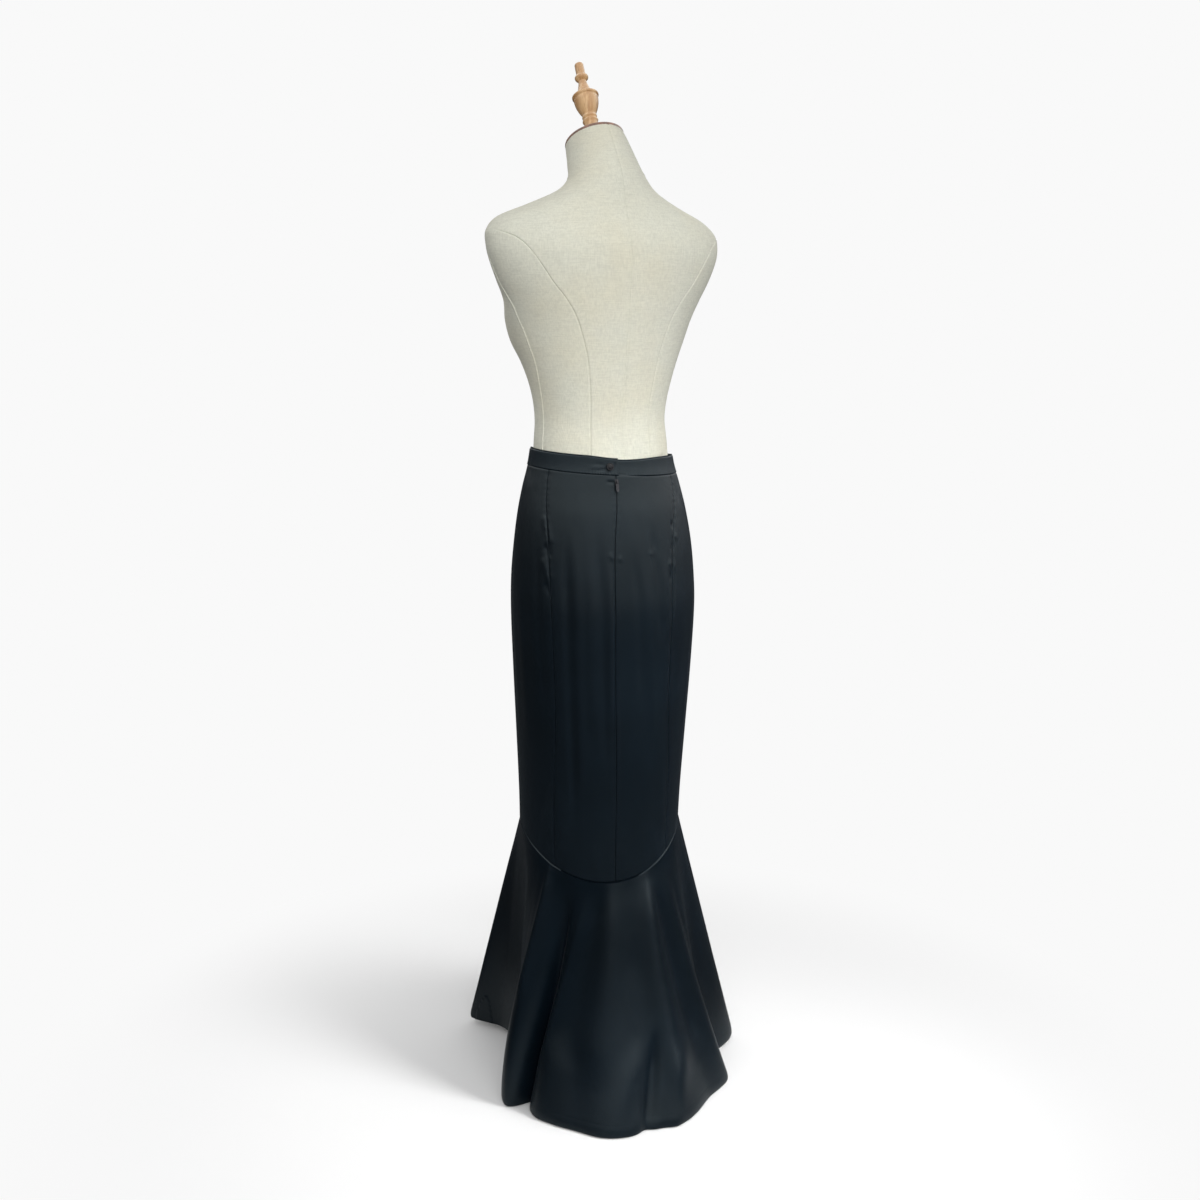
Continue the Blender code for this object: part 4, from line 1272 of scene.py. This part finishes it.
class SKIRT_OT_stage(bpy.types.Operator):
    """Set up the pale floor, the soft lights and the camera"""
    bl_idname = "skirt.stage"
    bl_label = "Stage"

    def execute(self, context):
        self.floor(context.scene.skirt_colours.floor)
        self.world()
        for lamp in LAMPS:
            self.hang(lamp)
        self.camera(context)
        context.scene.view_settings.view_transform = "Standard"
        return {"FINISHED"}

    def floor(self, colour):
        """White paper that glows more with distance, so that it ends in the white behind it."""
        made = Finish("floor_paper", Specular_IOR_Level=0.0, Emission_Strength=1.0)
        fleck = made.noise(made.place(), 3.0, 2.0)
        tone = made.blend(fleck, shade(colour, 0.99), colour)
        x, y, _ = made.split(made.place())
        distance = (x * x + y * y).root()
        away = distance.clamped(*FLOOR_REACH)
        glow = made.blend(away, (FLOOR_GLOW,) * 3, BACKDROP)
        material = made.done(
            Base_Color=made.blend(away, tone, (0.0, 0.0, 0.0)), Roughness=0.9, Emission_Color=glow,
        )
        # painted pool of light: the floor that the object sees is lighter close to the form and dark
        # far off
        far = distance.clamped(*FLOOR_UNSEEN_REACH)
        self.darker_unless_seen(made, made.blend(far, FLOOR_UNSEEN_LIT_NEAR, FLOOR_UNSEEN_DARK_FAR))
        shape = bmesh.new()
        bmesh.ops.create_grid(shape, x_segments=1, y_segments=1, size=FLOOR_HALF)
        finish_mesh("floor", shape, material)

    def darker_unless_seen(self, made, tone):
        """Only the eye sees the glow: the object shines as over white paper on a dark floor, which
        carries a painted pool of light, lighter close by and dark far off.
        """
        nodes, links = made.tree.nodes, made.tree.links
        path = nodes.new("ShaderNodeLightPath")
        dark = nodes.new("ShaderNodeBsdfDiffuse")
        links.new(tone.socket, dark.inputs["Color"])
        both = nodes.new("ShaderNodeMixShader")
        links.new(path.outputs["Is Camera Ray"], both.inputs[0])
        links.new(dark.outputs[0], both.inputs[1])
        links.new(made.shader.outputs[0], both.inputs[2])
        links.new(both.outputs[0], nodes["Material Output"].inputs["Surface"])

    def world(self):
        """White to the eye; an even glow on matt things; dark low down and bright above in gloss."""
        world = bpy.data.worlds.new("studio")
        world.use_nodes = True
        tree = world.node_tree
        nodes, links = tree.nodes, tree.links
        path = nodes.new("ShaderNodeLightPath")
        place = nodes.new("ShaderNodeTexCoord")

        def rise(lean, low, high, dark, bright):
            tilted = nodes.new("ShaderNodeVectorMath")
            tilted.operation = "DOT_PRODUCT"
            tilted.inputs[1].default_value = (*shade(WORLD_LEAN_WAY, lean), 1.0)
            links.new(place.outputs["Generated"], tilted.inputs[0])
            made = nodes.new("ShaderNodeMapRange")
            made.interpolation_type = "SMOOTHSTEP"
            sockets = ("From Min", "From Max", "To Min", "To Max")
            for socket, value in zip(sockets, (low, high, dark, bright)):
                made.inputs[socket].default_value = value
            links.new(tilted.outputs["Value"], made.inputs["Value"])
            return made.outputs[0]

        def choose(ray, otherwise, chosen):
            made = nodes.new("ShaderNodeMix")
            links.new(path.outputs[ray], made.inputs[0])
            links.new(otherwise, made.inputs[2])
            if isinstance(chosen, float):
                made.inputs[3].default_value = chosen
            else:
                links.new(chosen, made.inputs[3])
            return made.outputs[0]

        matt = rise(0.0, *WORLD_MATT_RISE, *WORLD_ON_MATT)
        gloss = rise(WORLD_GLOSS_LEAN, *WORLD_GLOSS_RISE, *WORLD_IN_GLOSS)
        strength = choose("Is Camera Ray", choose("Is Glossy Ray", matt, gloss), 1.0)
        links.new(strength, nodes["Background"].inputs["Strength"])
        nodes["Background"].inputs["Color"].default_value = (*BACKDROP, 1.0)
        bpy.context.scene.world = world

    def hang(self, lamp):
        light = bpy.data.lights.new(lamp.name, "AREA")
        light.shape = "DISK"
        light.size = lamp.size
        light.energy = lamp.power
        light.spread = math.radians(lamp.beam)
        made = bpy.data.objects.new(lamp.name, light)
        made.location = lamp.place
        towards = Vector(lamp.aim) - Vector(lamp.place)
        made.rotation_euler = towards.to_track_quat("-Z", "Y").to_euler()
        made.visible_glossy = lamp.mirrored
        bpy.context.scene.collection.objects.link(made)

    def camera(self, context):
        """Behind the form's left, just above the waist, looking a little down."""
        around, aside = math.radians(CAMERA_AROUND), math.radians(CAMERA_ASIDE)
        lens = bpy.data.cameras.new("view")
        lens.lens = LENS
        lens.sensor_width = LENS_WIDTH
        camera = bpy.data.objects.new("view", lens)
        camera.location = (
            CAMERA_DISTANCE * math.sin(around), -CAMERA_DISTANCE * math.cos(around), CAMERA_HEIGHT,
        )
        camera.rotation_euler = Euler((math.radians(90.0 - CAMERA_DOWN), 0.0, around + aside))
        context.scene.collection.objects.link(camera)
        context.scene.camera = camera


# --------------------------------------------------------------------------------------
# Panel and registration
# --------------------------------------------------------------------------------------

STEPS = (
    SKIRT_OT_form, SKIRT_OT_panels, SKIRT_OT_flounce,
    SKIRT_OT_waistband, SKIRT_OT_fastening, SKIRT_OT_stage,
)


class SKIRT_PT_sidebar(bpy.types.Panel):
    bl_label = "Mermaid Skirt"
    bl_idname = "SKIRT_PT_sidebar"
    bl_space_type = "VIEW_3D"
    bl_region_type = "UI"
    bl_category = "Mermaid Skirt"

    def draw(self, context):
        for group in (context.scene.skirt_sizes, context.scene.skirt_colours):
            column = self.layout.column()
            for name in group.__annotations__:
                column.prop(group, name)
        for step in STEPS:
            self.layout.operator(step.bl_idname)


CLASSES = (SkirtColours, SkirtSizes, *STEPS, SKIRT_PT_sidebar)


def register():
    for made in CLASSES:
        bpy.utils.register_class(made)
    bpy.types.Scene.skirt_colours = PointerProperty(type=SkirtColours)
    bpy.types.Scene.skirt_sizes = PointerProperty(type=SkirtSizes)


def unregister():
    del bpy.types.Scene.skirt_colours
    del bpy.types.Scene.skirt_sizes
    for made in reversed(CLASSES):
        bpy.utils.unregister_class(made)


def main():
    register()
    for old in [item for item in bpy.data.objects if item.type in {"CAMERA", "LIGHT"}]:
        bpy.data.objects.remove(old)
    bpy.ops.skirt.form()
    bpy.ops.skirt.panels()
    bpy.ops.skirt.flounce()
    bpy.ops.skirt.waistband()
    bpy.ops.skirt.fastening()
    bpy.ops.skirt.stage()


if __name__ == "__main__":
    main()
